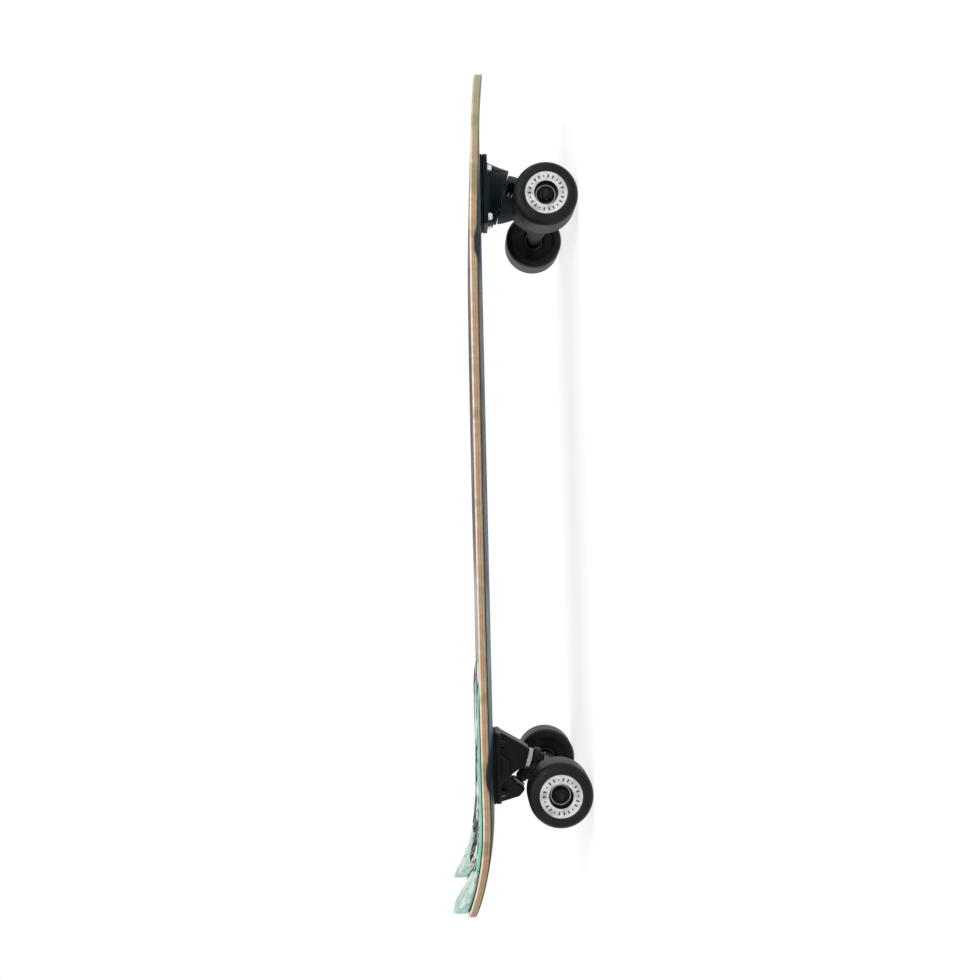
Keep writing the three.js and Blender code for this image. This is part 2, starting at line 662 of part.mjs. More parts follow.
function frontHanger() {
  const axle = axleInPivot();
  const inner = -PIVOT_NUT_RADIUS - PIVOT_NUT_ROOM;
  const box = (low, high, halfY, z) => [
    new THREE.Vector3(high, -halfY, z), new THREE.Vector3(high, halfY, z),
    new THREE.Vector3(low, halfY, z), new THREE.Vector3(low, -halfY, z),
  ];
  const web = lofted([
    box(axle.x - FRONT_BEAM_HALF_LENGTH, inner, FRONT_WEB_HALF_WIDTH * FRONT_WEB_FLARE_SHARE, axle.z),
    box(inner - FRONT_WEB_THICKNESS, inner, FRONT_WEB_HALF_WIDTH, HEAD_FOOT + HEAD_FLOOR / 2),
  ]);
  const body = joined([frontHead(), web, beam(axle, FRONT_BEAM_HALF_LENGTH, FRONT_BEAM_HALF_HEIGHT)]);
  const windowFoot = HEAD_TOP - WINDOW_SILL - WINDOW_HEIGHT;
  const windowShape = plateShape(WINDOW_LENGTH, WINDOW_HEIGHT, WINDOW_CORNER);
  const windows = [1, -1].map((side) => {
    const through = slabOf(windowShape, NECK_OUTER + RUN_GAP, HEAD_TOP_RADIUS + OVERRUN);
    through.rotateX((side * Math.PI) / 2);
    return through.rotateZ(side * WINDOW_TURN).translate(0, 0, windowFoot + WINDOW_HEIGHT / 2);
  });
  const legHole = rod(SPRING_WIRE_RADIUS + RUN_GAP, HEAD_FOOT - OVERRUN, HEAD_FOOT + HEAD_FLOOR + OVERRUN);
  const end = springEnd();
  const wellFoot = HEAD_FOOT - PIVOT_NUT_HEIGHT - BOLT_TAIL - OVERRUN;
  const nutWell = rod(PIVOT_NUT_RADIUS + PIVOT_NUT_ROOM, wellFoot, HEAD_FOOT, FINE_SIDES);
  const cuts = [springWell(), axleBore(axle), nutWell, legHole.translate(end.x, end.y, 0), ...windows];
  cuts.push(rod(NECK_INNER, -HEAD_HEIGHT * 2, HEAD_TOP + OVERRUN, FINE_SIDES));
  return shell(cutBy(body, cuts));
}

// The centring spring: a helix about the pivot with a straight leg at each end.
function springEnd() {
  const angle = SPRING_CURLS * 2 * Math.PI;
  return new THREE.Vector2(SPRING_MEAN_RADIUS * Math.cos(angle), SPRING_MEAN_RADIUS * Math.sin(angle));
}

function springPath() {
  const top = HEAD_TOP - RUN_GAP - SPRING_WIRE_RADIUS;
  const count = Math.round(SPRING_CURLS * SPRING_STEPS);
  const coil = steps(0, SPRING_CURLS, count).map((turn) => new THREE.Vector3(
    SPRING_MEAN_RADIUS * Math.cos(turn * 2 * Math.PI),
    SPRING_MEAN_RADIUS * Math.sin(turn * 2 * Math.PI),
    top - turn * SPRING_PITCH,
  ));
  const first = coil[0].clone().setZ(SPRING_LEG);
  const last = coil[count].clone().setZ(HEAD_FOOT + SEAT_GAP);
  return [first, ...coil, last];
}

function springGap() {
  const coil = springPath().slice(1, -1);
  const far = SPRING_STEPS / 2;
  let least = Infinity;
  coil.forEach((p, i) => {
    coil.slice(i + far).forEach((q) => {
      least = Math.min(least, p.distanceTo(q));
    });
  });
  return least - 2 * SPRING_WIRE_RADIUS;
}

function centringSpring() {
  const path = springPath();
  const sections = path.map((point, i) => {
    const before = path[Math.max(i - 1, 0)];
    const after = path[Math.min(i + 1, path.length - 1)];
    const ahead = after.clone().sub(before).normalize();
    const outward = new THREE.Vector3(point.x, point.y, 0).normalize();
    const across = new THREE.Vector3().crossVectors(ahead, outward).normalize();
    const out = new THREE.Vector3().crossVectors(across, ahead).normalize();
    return ellipse(
      point,
      across.multiplyScalar(SPRING_WIRE_RADIUS),
      out.multiplyScalar(-SPRING_WIRE_RADIUS),
      SPRING_SIDES,
    );
  });
  return lofted(sections);
}

function pivotBolt() {
  const foot = HEAD_FOOT - PIVOT_NUT_HEIGHT - RUN_GAP - BOLT_TAIL;
  const top = PIVOT_HEAD_LIFT + SEAT_GAP;
  const head = rod(PIVOT_HEAD_RADIUS, top, top + PIVOT_HEAD_HEIGHT, HEX_SIDES);
  return shell(joined([head, rod(PIVOT_BOLT_RADIUS, foot, top + OVERRUN)]));
}

function pivotNut() {
  const top = HEAD_FOOT - SEAT_GAP;
  return hexNut(PIVOT_NUT_RADIUS, PIVOT_BOLT_RADIUS + SEAT_GAP, top - PIVOT_NUT_HEIGHT, top);
}

// Rear truck, in the frame of its plate.
const KINGPIN_DOWN = new THREE.Vector3(-Math.sin(KINGPIN_TILT), 0, -Math.cos(KINGPIN_TILT));
const SEAT_ORIGIN = new THREE.Vector3(SEAT_X, 0, -SEAT_DROP);
const RING_TOP = UPPER_BUSHING_HEIGHT + SEAT_GAP * 2;
const RING_MIDDLE = SEAT_ORIGIN.clone().addScaledVector(KINGPIN_DOWN, RING_TOP + RING_HEIGHT / 2);
const CUP_ORIGIN = new THREE.Vector3(CUP_X, 0, -CUP_DROP);
const STEER_AXIS = RING_MIDDLE.clone().sub(CUP_ORIGIN).normalize();
const LOWER_BUSHING_TOP = RING_TOP + RING_HEIGHT + SEAT_GAP;
const CUP_WASHER_TOP = LOWER_BUSHING_TOP + LOWER_BUSHING_HEIGHT + SEAT_GAP;
const KINGPIN_NUT_TOP = CUP_WASHER_TOP + CUP_WASHER_THICKNESS + SEAT_GAP;
const ARM_FOOT = CUP_RIM + RUN_GAP * 2;

function onKingpin(geometry) {
  return along(geometry, KINGPIN_DOWN, SEAT_ORIGIN);
}

function onSteer(geometry) {
  return along(geometry, STEER_AXIS, CUP_ORIGIN);
}

function rearBase() {
  const half = REAR_PLATE_LENGTH / 2;
  const top = PLATE_TOP - PLATE_THICKNESS / 2;
  const face = new THREE.Vector3(Math.cos(KINGPIN_TILT), 0, -Math.sin(KINGPIN_TILT));
  const inner = SEAT_ORIGIN.clone().addScaledVector(face, SEAT_RADIUS);
  const outer = SEAT_ORIGIN.clone().addScaledVector(face, -SEAT_RADIUS);
  const notch = new THREE.Vector3(CUP_X + CUP_RADIUS, 0, (PLATE_FOOT - CUP_DROP) / 2);
  const block = [
    [notch.x, top], [half - SEAT_GAP, top], [half - SEAT_GAP, PLATE_FOOT],
    [BROW_X, -BROW_DROP], [inner.x, inner.z], [outer.x, outer.z],
    [outer.x, outer.z + UPPER_BUSHING_HEIGHT], [notch.x, notch.z],
  ];
  const cupFace = new THREE.Vector3(STEER_AXIS.z, 0, -STEER_AXIS.x);
  const tip = CUP_ORIGIN.clone().addScaledVector(cupFace, CUP_RADIUS * JUT_TIP_SHARE);
  const root = CUP_ORIGIN.clone().addScaledVector(cupFace, -CUP_RADIUS * JUT_ROOT_SHARE);
  const jut = [
    [SEAT_GAP - half, top], [SEAT_GAP - half, PLATE_FOOT],
    [tip.x - CUP_RADIUS, tip.z + CUP_RADIUS * JUT_BEVEL_SHARE],
    [tip.x - CUP_RIM, tip.z + CUP_RIM / 2], [tip.x, tip.z], [root.x, root.z], [notch.x, top],
  ];
  const wide = GUSSET_LENGTH / 2;
  const narrow = GUSSET_LENGTH / 4;
  const gussetFoot = PLATE_FOOT - GUSSET_HEIGHT;
  const gusset = [
    [-wide, top], [-wide, PLATE_FOOT], [-narrow, gussetFoot],
    [narrow, gussetFoot], [wide, PLATE_FOOT], [wide, top],
  ];
  const body = joined([
    plateSlab(REAR_PLATE_LENGTH, REAR_PLATE_LEAD),
    profiled(block, BLOCK_HALF_WIDTH),
    profiled(jut, JUT_HALF_WIDTH),
    profiled(gusset, GUSSET_HALF_WIDTH),
  ]);
  const reach = -SEAT_DROP * 2;
  const cuts = [
    onKingpin(rod(KINGPIN_RADIUS + SEAT_GAP, reach, OVERRUN)),
    onKingpin(rod(KINGPIN_HEAD_RADIUS + RUN_GAP, reach, -KINGPIN_HEAD_LIFT)),
    onSteer(rod(CUP_RADIUS - CUP_RIM / 2 + SEAT_GAP, -CUP_DEPTH - SEAT_GAP, OVERRUN)),
    ...boltHoles(0, BOLT_RADIUS + RUN_GAP, PLATE_FOOT - OVERRUN, OVERRUN),
    ...nutPockets(),
  ];
  return shell(cutBy(body, cuts));
}

function pivotCup() {
  const outer = CUP_RADIUS - CUP_RIM / 2;
  const inner = PIVOT_PIN_RADIUS + RUN_GAP;
  const profile = [
    [0, -CUP_DEPTH], [outer, -CUP_DEPTH], [outer, SEAT_GAP], [CUP_RADIUS, SEAT_GAP], [CUP_RADIUS, CUP_RIM],
    [inner, CUP_RIM], [inner, CUP_FLOOR - CUP_DEPTH], [0, CUP_FLOOR - CUP_DEPTH],
  ];
  return turned(profile, SMALL_SIDES);
}

// The arm of the hanger on the steering axis, from the pin in the cup to the bushing ring.
function hangerArm() {
  const reach = CUP_ORIGIN.distanceTo(RING_MIDDLE);
  const pinTip = CUP_FLOOR - CUP_DEPTH + RUN_GAP;
  return turned([
    [0, pinTip], [PIVOT_PIN_RADIUS * PIN_TIP_SHARE, pinTip],
    [PIVOT_PIN_RADIUS, pinTip + PIVOT_PIN_RADIUS * PIN_TIP_SHARE],
    [PIVOT_PIN_RADIUS, ARM_FOOT], [ARM_RADIUS, ARM_FOOT + PIVOT_PIN_RADIUS / 2],
    [ARM_RADIUS, reach * ARM_STRAIGHT_SHARE],
    [PIVOT_PIN_RADIUS, reach - RING_BORE_RADIUS], [0, reach - RING_BORE_RADIUS],
  ], SMALL_SIDES);
}

function hangerWeb(axle) {
  const armMiddle = CUP_ORIGIN.clone().addScaledVector(STEER_AXIS, ARM_FOOT + ARM_RADIUS);
  const onBeam = WEB_BEAM_SHARES.map(([x, z]) => [
    axle.x + REAR_BEAM_HALF_LENGTH * x,
    axle.z + REAR_BEAM_HALF_HEIGHT * z,
  ]);
  const [armX, armZ] = WEB_ARM_SHARES;
  return profiled([
    [armMiddle.x + ARM_RADIUS * armX, armMiddle.z + ARM_RADIUS * armZ],
    ...onBeam,
    [RING_MIDDLE.x, RING_MIDDLE.z - RING_HEIGHT / 2],
    [RING_MIDDLE.x - RING_BORE_RADIUS, RING_MIDDLE.z + RING_HEIGHT / 2],
    [armMiddle.x, armMiddle.z],
  ], REAR_WEB_HALF_WIDTH);
}

// The room that a fixed piece on the kingpin needs in the hanger, at every lean.
function leanRoom(geometry) {
  const onAxis = onKingpin(geometry).translate(-CUP_ORIGIN.x, -CUP_ORIGIN.y, -CUP_ORIGIN.z);
  return steps(-LEAN_RANGE, LEAN_RANGE, LEAN_CUTS).map((lean) => {
    const turn = new THREE.Quaternion().setFromAxisAngle(STEER_AXIS, lean);
    const leaned = onAxis.clone().applyQuaternion(turn);
    return leaned.translate(CUP_ORIGIN.x, CUP_ORIGIN.y, CUP_ORIGIN.z);
  });
}

function rearHanger() {
  const axle = new THREE.Vector3(-REAR_AXLE_SETBACK, 0, -AXLE_DROP);
  const ringFoot = RING_TOP + RING_HEIGHT;
  const ringBody = onKingpin(rod(RING_RADIUS, RING_TOP, ringFoot, FINE_SIDES));
  const body = joined([
    onSteer(hangerArm()),
    ringBody,
    hangerWeb(axle),
    beam(axle, REAR_BEAM_HALF_LENGTH, REAR_BEAM_HALF_HEIGHT),
  ]);
  const nutFoot = KINGPIN_NUT_TOP + KINGPIN_NUT_HEIGHT;
  const cuts = [
    onKingpin(rod(RING_BORE_RADIUS, RING_TOP - OVERRUN, ringFoot + OVERRUN)),
    onKingpin(rod(SEAT_RADIUS + LEAN_ROOM * 2, -OVERRUN, RING_TOP, FINE_SIDES)),
    ...leanRoom(rod(CUP_WASHER_RADIUS + LEAN_ROOM, ringFoot, KINGPIN_NUT_TOP + SEAT_GAP, FINE_SIDES)),
    ...leanRoom(rod(KINGPIN_NUT_RADIUS + LEAN_ROOM, ringFoot, nutFoot + LEAN_ROOM)),
    ...leanRoom(rod(KINGPIN_RADIUS + LEAN_ROOM, ringFoot, nutFoot + BOLT_TAIL + LEAN_ROOM)),
    axleBore(axle),
  ];
  return shell(cutBy(body, cuts));
}

function kingpin() {
  const foot = KINGPIN_NUT_TOP + KINGPIN_NUT_HEIGHT + BOLT_TAIL;
  const headFoot = -KINGPIN_HEAD_LIFT - SEAT_GAP;
  const head = rod(KINGPIN_HEAD_RADIUS, headFoot - KINGPIN_HEAD_HEIGHT, headFoot, HEX_SIDES);
  return shell(joined([head, rod(KINGPIN_RADIUS, headFoot - OVERRUN / 2, foot)]));
}

function upperBushing() {
  const inner = KINGPIN_RADIUS + SEAT_GAP;
  return ring(UPPER_BUSHING_RADIUS, inner, SEAT_GAP, SEAT_GAP + UPPER_BUSHING_HEIGHT, FINE_SIDES);
}

function lowerBushing() {
  const inner = KINGPIN_RADIUS + SEAT_GAP;
  const foot = LOWER_BUSHING_TOP + LOWER_BUSHING_HEIGHT;
  return turned([
    [inner, LOWER_BUSHING_TOP], [LOWER_BUSHING_RADIUS, LOWER_BUSHING_TOP], [LOWER_BUSHING_TIP_RADIUS, foot],
    [inner, foot], [inner, LOWER_BUSHING_TOP],
  ], FINE_SIDES);
}

function cupWasher() {
  const inner = KINGPIN_RADIUS + SEAT_GAP;
  return ring(CUP_WASHER_RADIUS, inner, CUP_WASHER_TOP, CUP_WASHER_TOP + CUP_WASHER_THICKNESS, FINE_SIDES);
}

function kingpinNut() {
  const foot = KINGPIN_NUT_TOP + KINGPIN_NUT_HEIGHT;
  return hexNut(KINGPIN_NUT_RADIUS, KINGPIN_RADIUS + SEAT_GAP, KINGPIN_NUT_TOP, foot);
}

// Wheels: turned about the axle, with a facet on the ground.
function wheel() {
  const half = WHEEL_WIDTH / 2;
  const seatRadius = BEARING_RADIUS + SEAT_GAP;
  const shoulder = (half + TREAD_WIDTH / 2 + LIP_ROUND) / 2;
  const side = [
    [HUB_WEB_RADIUS, HUB_WEB_WIDTH / 2], [seatRadius, HUB_WEB_WIDTH / 2],
    [seatRadius, BEARING_REACH + SEAT_GAP], [HUB_MOUTH_RADIUS, half - HUB_MOUTH_DEPTH],
    [DISH_RADIUS, half - DISH_DEPTH], [LIP_RADIUS - LIP_WIDTH, half], [LIP_RADIUS, half],
    [WHEEL_RADIUS - LIP_ROUND, shoulder], [WHEEL_RADIUS, TREAD_WIDTH / 2],
  ];
  const under = side.map(([radius, height]) => [radius, -height]);
  const profile = [...under, ...side.reverse(), under[0]];
  return turned(profile, FINE_SIDES, WHEEL_STEP);
}

function bearing() {
  const half = BEARING_WIDTH / 2;
  return ring(BEARING_RADIUS, AXLE_RADIUS + SEAT_GAP, -half, half, SMALL_SIDES);
}

function axleNut() {
  return hexNut(AXLE_NUT_RADIUS, AXLE_RADIUS + SEAT_GAP, 0, AXLE_NUT_HEIGHT);
}

function axle() {
  return rod(AXLE_RADIUS, -AXLE_END_Y, AXLE_END_Y).rotateX(Math.PI / 2);
}

// Assembly.
function piece(name, geometry, material) {
  const mesh = new THREE.Mesh(geometry, material);
  mesh.name = name;
  return mesh;
}

function placed(children, x, y, z) {
  const group = new THREE.Group();
  group.position.set(x, y, z);
  group.add(...children);
  return group;
}

function axleSet(end, axleX) {
  const pieces = [piece(`${end}_axle`, axle(), STEEL)];
  [['left', 1], ['right', -1]].forEach(([side, sign]) => {
    const turn = (-sign * Math.PI) / 2;
    const corner = `${end}_${side}`;
    const onAxle = (mesh, offset) => {
      mesh.rotation.x = turn;
      mesh.position.y = sign * offset;
      return mesh;
    };
    pieces.push(
      onAxle(piece(`${corner}_wheel`, wheel(), URETHANE), WHEEL_Y),
      onAxle(piece(`${corner}_bearing_inner`, bearing(), STEEL), WHEEL_Y - BEARING_OFFSET),
      onAxle(piece(`${corner}_bearing_outer`, bearing(), STEEL), WHEEL_Y + BEARING_OFFSET),
      onAxle(piece(`${corner}_axle_nut`, axleNut(), BLACK_STEEL), AXLE_NUT_Y),
    );
  });
  return placed(pieces, axleX, 0, AXLE_Z);
}

function mountHardware(end, nutMaterial) {
  return boltPlaces().flatMap(([x, y], at) => {
    const bolt = piece(`${end}_mount_bolt_${at + 1}`, mountBolt(), BLACK_STEEL);
    const nut = piece(`${end}_mount_nut_${at + 1}`, mountNut(), nutMaterial);
    bolt.position.set(x, y, 0);
    nut.position.set(x, y, 0);
    return [bolt, nut];
  });
}

function pivotFrame(children) {
  const group = placed(children, PIVOT_ORIGIN.x, PIVOT_ORIGIN.y, PIVOT_ORIGIN.z);
  group.rotation.y = PIVOT_TILT;
  return group;
}

function frontTruck() {
  const thrustTop = THRUST_FOOT + THRUST_THICKNESS;
  const sleeveInner = PIVOT_BOLT_RADIUS + RUN_GAP;
  const sleeveFoot = HEAD_FOOT + SEAT_GAP;
  const thrust = ring(THRUST_RADIUS, SLEEVE_OUTER + SEAT_GAP, THRUST_FOOT, thrustTop, FINE_SIDES);
  const swinging = pivotFrame([
    piece('front_hanger', frontHanger(), CASTING),
    piece('centring_spring', centringSpring(), STEEL),
    piece('pivot_bolt', pivotBolt(), BLACK_STEEL),
    piece('pivot_nut', pivotNut(), ZINC),
    piece('pivot_sleeve', ring(SLEEVE_OUTER, sleeveInner, sleeveFoot, HEAD_TOP), STEEL),
    piece('thrust_bearing', thrust, STEEL),
  ]);
  const fixed = [
    piece('front_riser', riser(FRONT_PLATE_LENGTH, FRONT_PLATE_LEAD), RUBBER),
    piece('front_base', frontBase(), CASTING),
    ...mountHardware('front', ZINC),
  ];
  return placed([swinging, ...fixed], FRONT_PLATE_X, 0, DECK_Z);
}

function rearTruck() {
  const pieces = [
    piece('rear_riser', riser(REAR_PLATE_LENGTH, REAR_PLATE_LEAD), RUBBER),
    piece('rear_base', rearBase(), CASTING),
    piece('rear_hanger', rearHanger(), CASTING),
    piece('pivot_cup', onSteer(pivotCup()), BEIGE_URETHANE),
    piece('kingpin', onKingpin(kingpin()), BLACK_STEEL),
    piece('upper_bushing', onKingpin(upperBushing()), PALE_URETHANE),
    piece('lower_bushing', onKingpin(lowerBushing()), RUBBER),
    piece('cup_washer', onKingpin(cupWasher()), STEEL),
    piece('kingpin_nut', onKingpin(kingpinNut()), STEEL),
    ...mountHardware('rear', BLACK_STEEL),
  ];
  return placed(pieces, REAR_PLATE_X, 0, DECK_Z);
}

function board() {
  return placed([
    piece('deck', deck(), WOOD),
    piece('traction_pad', padSheet(), FOAM),
    piece('tail_kick', kickPad(), FOAM),
  ], 0, 0, DECK_Z);
}

console.log(`centring spring: least gap to itself ${springGap().toFixed(2)} mm`);

const group = new THREE.Group();
group.add(board(), frontTruck(), rearTruck(), axleSet('front', FRONT_AXLE_X), axleSet('rear', REAR_AXLE_X));

export default group;
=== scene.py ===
"""Surfskate: the looks of every piece, built round the fixed frame.

Sizes are in millimetres in the frame of the part (+X to the nose, +Y to the left, +Z up, the wheels on z = 0),
and become metres when a mesh is made.
"""
import logging
import math
from dataclasses import dataclass
from enum import Enum
from functools import cached_property
from typing import Callable, Iterable, Sequence

import bmesh
import bpy
from mathutils import Matrix, Vector
from mathutils.geometry import delaunay_2d_cdt


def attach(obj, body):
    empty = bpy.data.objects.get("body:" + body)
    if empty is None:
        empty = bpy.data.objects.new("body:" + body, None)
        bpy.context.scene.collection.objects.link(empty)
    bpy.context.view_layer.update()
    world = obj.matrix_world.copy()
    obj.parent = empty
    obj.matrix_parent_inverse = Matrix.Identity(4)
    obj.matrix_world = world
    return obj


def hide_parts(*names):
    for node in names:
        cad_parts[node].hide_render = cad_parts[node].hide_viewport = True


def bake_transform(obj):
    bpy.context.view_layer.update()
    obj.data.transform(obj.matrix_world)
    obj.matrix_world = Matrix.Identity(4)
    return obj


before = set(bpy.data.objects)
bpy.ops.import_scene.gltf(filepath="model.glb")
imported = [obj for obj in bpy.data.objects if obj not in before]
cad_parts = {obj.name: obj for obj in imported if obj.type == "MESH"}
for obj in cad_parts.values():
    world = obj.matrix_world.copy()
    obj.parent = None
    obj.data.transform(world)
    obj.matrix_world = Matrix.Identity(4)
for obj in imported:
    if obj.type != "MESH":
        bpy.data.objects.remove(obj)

LOG = logging.getLogger("surfskate")
MM = 0.001
TURN = 2.0 * math.pi
SQUARE = math.pi / 2
UP = Vector((0.0, 0.0, 1.0))
GAP = 0.25
BOLT_PATTERN = (53.98, 41.28)
AXLE_HEIGHT = 33.7091
SOFTENING = 3

Height = Callable[[float, float], float]
Loop = list[Vector]
Profile = Sequence[tuple[float, float]]
Stops = tuple[tuple[float, str], ...]
Socket = bpy.types.NodeSocket


class End(Enum):
    """The two ends of the board."""

    FRONT = "front"
    REAR = "rear"


class Side(Enum):
    """The two sides of the board, with the sign of Y."""

    LEFT = 1
    RIGHT = -1


PLATE_PLACES = {End.FRONT: 328.0, End.REAR: -321.5}
AXLE_PLACES = {End.FRONT: 298.0, End.REAR: -331.5}


# Moves


def shift(x: float, y: float, z: float) -> Matrix:
    """A move by three distances."""
    return Matrix.Translation(Vector((x, y, z)))


def spin(angle: float, axis: str | Vector) -> Matrix:
    """A turn about an axis through the origin."""
    return Matrix.Rotation(angle, 4, axis)


def along(direction: Vector, origin: Vector) -> Matrix:
    """The move that takes +Z to a direction and the origin to a point."""
    return Matrix.Translation(origin) @ UP.rotation_difference(direction).to_matrix().to_4x4()


def bolt_spots(x: float = 0.0) -> list[tuple[float, float]]:
    """Where the four bolts of a plate stand, about a place along the board."""
    return [(x + sx * BOLT_PATTERN[0] / 2, sy * BOLT_PATTERN[1] / 2) for sx in (1, -1) for sy in (1, -1)]


# Meshes


@dataclass
class Shape:
    """A skin of points in millimetres, its faces, and what the finishes need to know of them."""

    points: list[Vector]
    faces: list[tuple[int, ...]]
    shares: list[float] | None = None
    tints: list[int] | None = None

    def placed(self, move: Matrix) -> "Shape":
        """A copy that is moved by a matrix in millimetres."""
        return Shape([move @ point for point in self.points], list(self.faces), self.shares, self.tints)

    def take(self, points: Loop) -> list[int]:
        """Add points, and tell their places."""
        self.points += points
        return list(range(len(self.points) - len(points), len(self.points)))

    def strip(self, here: list[int], there: list[int], tint: int) -> None:
        """Join two rings of places with faces of one finish."""
        self.faces += zip(here, here[1:] + here[:1], there[1:] + there[:1], there)
        self.tints += [tint] * len(here)

    def middle(self, face: tuple[int, ...]) -> Vector:
        """The middle of a face."""
        return sum((self.points[i] for i in face), Vector()) / len(face)


def joined(shapes: Sequence[Shape]) -> Shape:
    """Put several shapes in one skin, each still closed on its own.

    Args:
        shapes: The shapes.

    Returns:
        One shape that holds them all.
    """
    out = Shape([], [])
    for shape in shapes:
        places = out.take(shape.points)
        out.faces += [tuple(places[i] for i in face) for face in shape.faces]
    return out


def lofted(rings: Sequence[Loop], closed: bool = False) -> Shape:
    """Skin rings of equally many points.

    Args:
        rings: The rings in order.
        closed: Whether the last ring meets the first, instead of both ends being capped.

    Returns:
        The closed skin.
    """
    out = Shape([], [], None, [])
    places = [out.take(loop) for loop in rings]
    for here, there in zip(places, places[1:] + (places[:1] if closed else [])):
        out.strip(here, there, 0)
    if not closed:
        out.faces += [tuple(places[0]), tuple(places[-1])]
    return Shape(out.points, out.faces)


def turned(profile: Profile, sides: int) -> Shape:
    """Turn a profile about +Z.

    Args:
        profile: Pairs of radius and height. A profile that starts off the axis closes on itself.
        sides: How many steps go round.

    Returns:
        The turned shape.
    """
    on_axis = profile[0][0] == 0
    angles = [TURN * i / sides for i in range(sides)]
    rings = [[Vector((radius * math.cos(a), radius * math.sin(a), height)) for a in angles]
             for radius, height in (profile[1:-1] if on_axis else profile)]
    return lofted(rings, closed=not on_axis)


def softened(profile: Profile, radius: float, steps: int = 4) -> list[tuple[float, float]]:
    """Round the corners of a profile.

    Args:
        profile: Pairs of radius and height; both ends stay where they are.
        radius: How far along each leg a corner is cut.
        steps: How many points a rounded corner has beyond its first.

    Returns:
        The rounded profile.
    """
    out = [profile[0]]
    for before, corner, after in zip(profile, profile[1:], profile[2:]):
        a, b, c = Vector(before), Vector(corner), Vector(after)
        first = b.lerp(a, min(radius / max((a - b).length, MM), 0.5))
        last = b.lerp(c, min(radius / max((c - b).length, MM), 0.5))
        for i in range(steps + 1):
            t = i / steps
            bent = first.lerp(b, t).lerp(b.lerp(last, t), t)
            out.append((bent.x, bent.y))
    return out + [profile[-1]]


def ringed(corners: Profile, edge: float, sides: int) -> Shape:
    """Turn a closed profile with rounded corners; it starts inside its bore, where no corner is."""
    return turned(softened([*corners, corners[0]], edge)[:-1], sides)


def washer(outer: float, inner: float, low: float, high: float, edge: float, sides: int = 48) -> Shape:
    """A ring about +Z between two radii and two heights, with rounded edges."""
    corners = [(inner, (low + high) / 2), (inner, low), (outer, low), (outer, high), (inner, high)]
    return ringed(corners, edge, sides)


def rod(radius: float, low: float, high: float, sides: int = 32, edge: float = 0.0) -> Shape:
    """A round bar about +Z.

    Args:
        radius: Its radius.
        low: The height of its lower end.
        high: The height of its upper end.
        sides: How many steps go round.
        edge: How far its ends are eased.

    Returns:
        The bar.
    """
    rim = [(radius, low), (radius, high)]
    if edge:
        rim = [(radius - edge, low), (radius, low + edge), (radius, high - edge), (radius - edge, high)]
    return turned([(0, low), *rim, (0, high)], sides)


def rounded_plate(length: float, width: float, corner: float, steps: int = 10) -> Loop:
    """The outline of a plate with round corners.

    Args:
        length: Its size along X.
        width: Its size along Y.
        corner: The radius of its corners.
        steps: How many points a corner has.

    Returns:
        The outline, anticlockwise.
    """
    loop: Loop = []
    for turn, (sx, sy) in enumerate(((1, -1), (1, 1), (-1, 1), (-1, -1))):
        centre = Vector((sx * (length / 2 - corner), sy * (width / 2 - corner), 0))
        for i in range(steps + 1):
            angle = (turn - 1) * SQUARE + i / steps * SQUARE
            loop.append(centre + corner * Vector((math.cos(angle), math.sin(angle), 0)))
    return loop


def slab(loop: Loop, low: float, high: float, edge: float = 0.0) -> Shape:
    """A flat piece between two heights.

    Args:
        loop: Its outline.
        low: The height of its foot.
        high: The height of its top.
        edge: How far its edges are eased.

    Returns:
        The piece.
    """
    levels = [(0.0, low), (0.0, high)]
    if edge:
        levels = [(edge, low), (0.3 * edge, low + 0.3 * edge), (0.0, low + edge)]
        levels += [(0.0, high - edge), (0.3 * edge, high - 0.3 * edge), (edge, high)]
    return lofted([[p + Vector((0, 0, z)) for p in drawn_in(loop, inset)] for inset, z in levels])


def prism(side: Profile, half_width: float) -> Shape:
    """A side profile, in pairs of x and z, given a width across Y."""
    return lofted([[Vector((x, y, z)) for x, z in side] for y in (-half_width, half_width)])


def ellipse(centre: Vector, first: Vector, second: Vector, sides: int = 48) -> Loop:
    """The points of an ellipse, by its centre and its two half axes."""
    return [centre + first * math.cos(TURN * i / sides) + second * math.sin(TURN * i / sides) for i in range(sides)]


def tube(path: Loop, radius: float, sides: int = 12) -> Shape:
    """A round wire along a path.

    Args:
        path: The points of its middle.
        radius: Its radius.
        sides: How many steps go round.

    Returns:
        The wire.
    """
    rings = []
    across = None
    for i, point in enumerate(path):
        ahead = (path[min(i + 1, len(path) - 1)] - path[max(i - 1, 0)]).normalized()
        across = across or ahead.orthogonal().normalized()
        across = (across - ahead * across.dot(ahead)).normalized()
        rings.append(ellipse(point, across * radius, ahead.cross(across) * radius, sides))
    return lofted(rings)


def drawn_in(loop: Loop, inset: float) -> Loop:
    """Draw a closed outline in along its normals.

    Args:
        loop: The outline, anticlockwise.
        inset: How far it goes in.

    Returns:
        The new outline.
    """
    out = []
    for i, point in enumerate(loop):
        ahead = loop[(i + 1) % len(loop)] - loop[i - 1]
        inward = Vector((-ahead.y, ahead.x, 0)).normalized()
        out.append(point + inward * inset)
    return out if inset else [point.copy() for point in loop]


def clipped(loop: Loop, point: Vector, inward: Vector) -> Loop:
    """Keep the part of an outline on one side of a line.

    Args:
        loop: The outline.
        point: A point of the line.
        inward: The direction of the side that stays.

    Returns:
        The outline that is left.
    """
    out: Loop = []
    for here, there in zip(loop, loop[1:] + loop[:1]):
        a, b = (here - point).dot(inward), (there - point).dot(inward)
        if a >= 0:
            out.append(here)
        if (a >= 0) != (b >= 0):
            out.append(here.lerp(there, a / (a - b)))
    return out


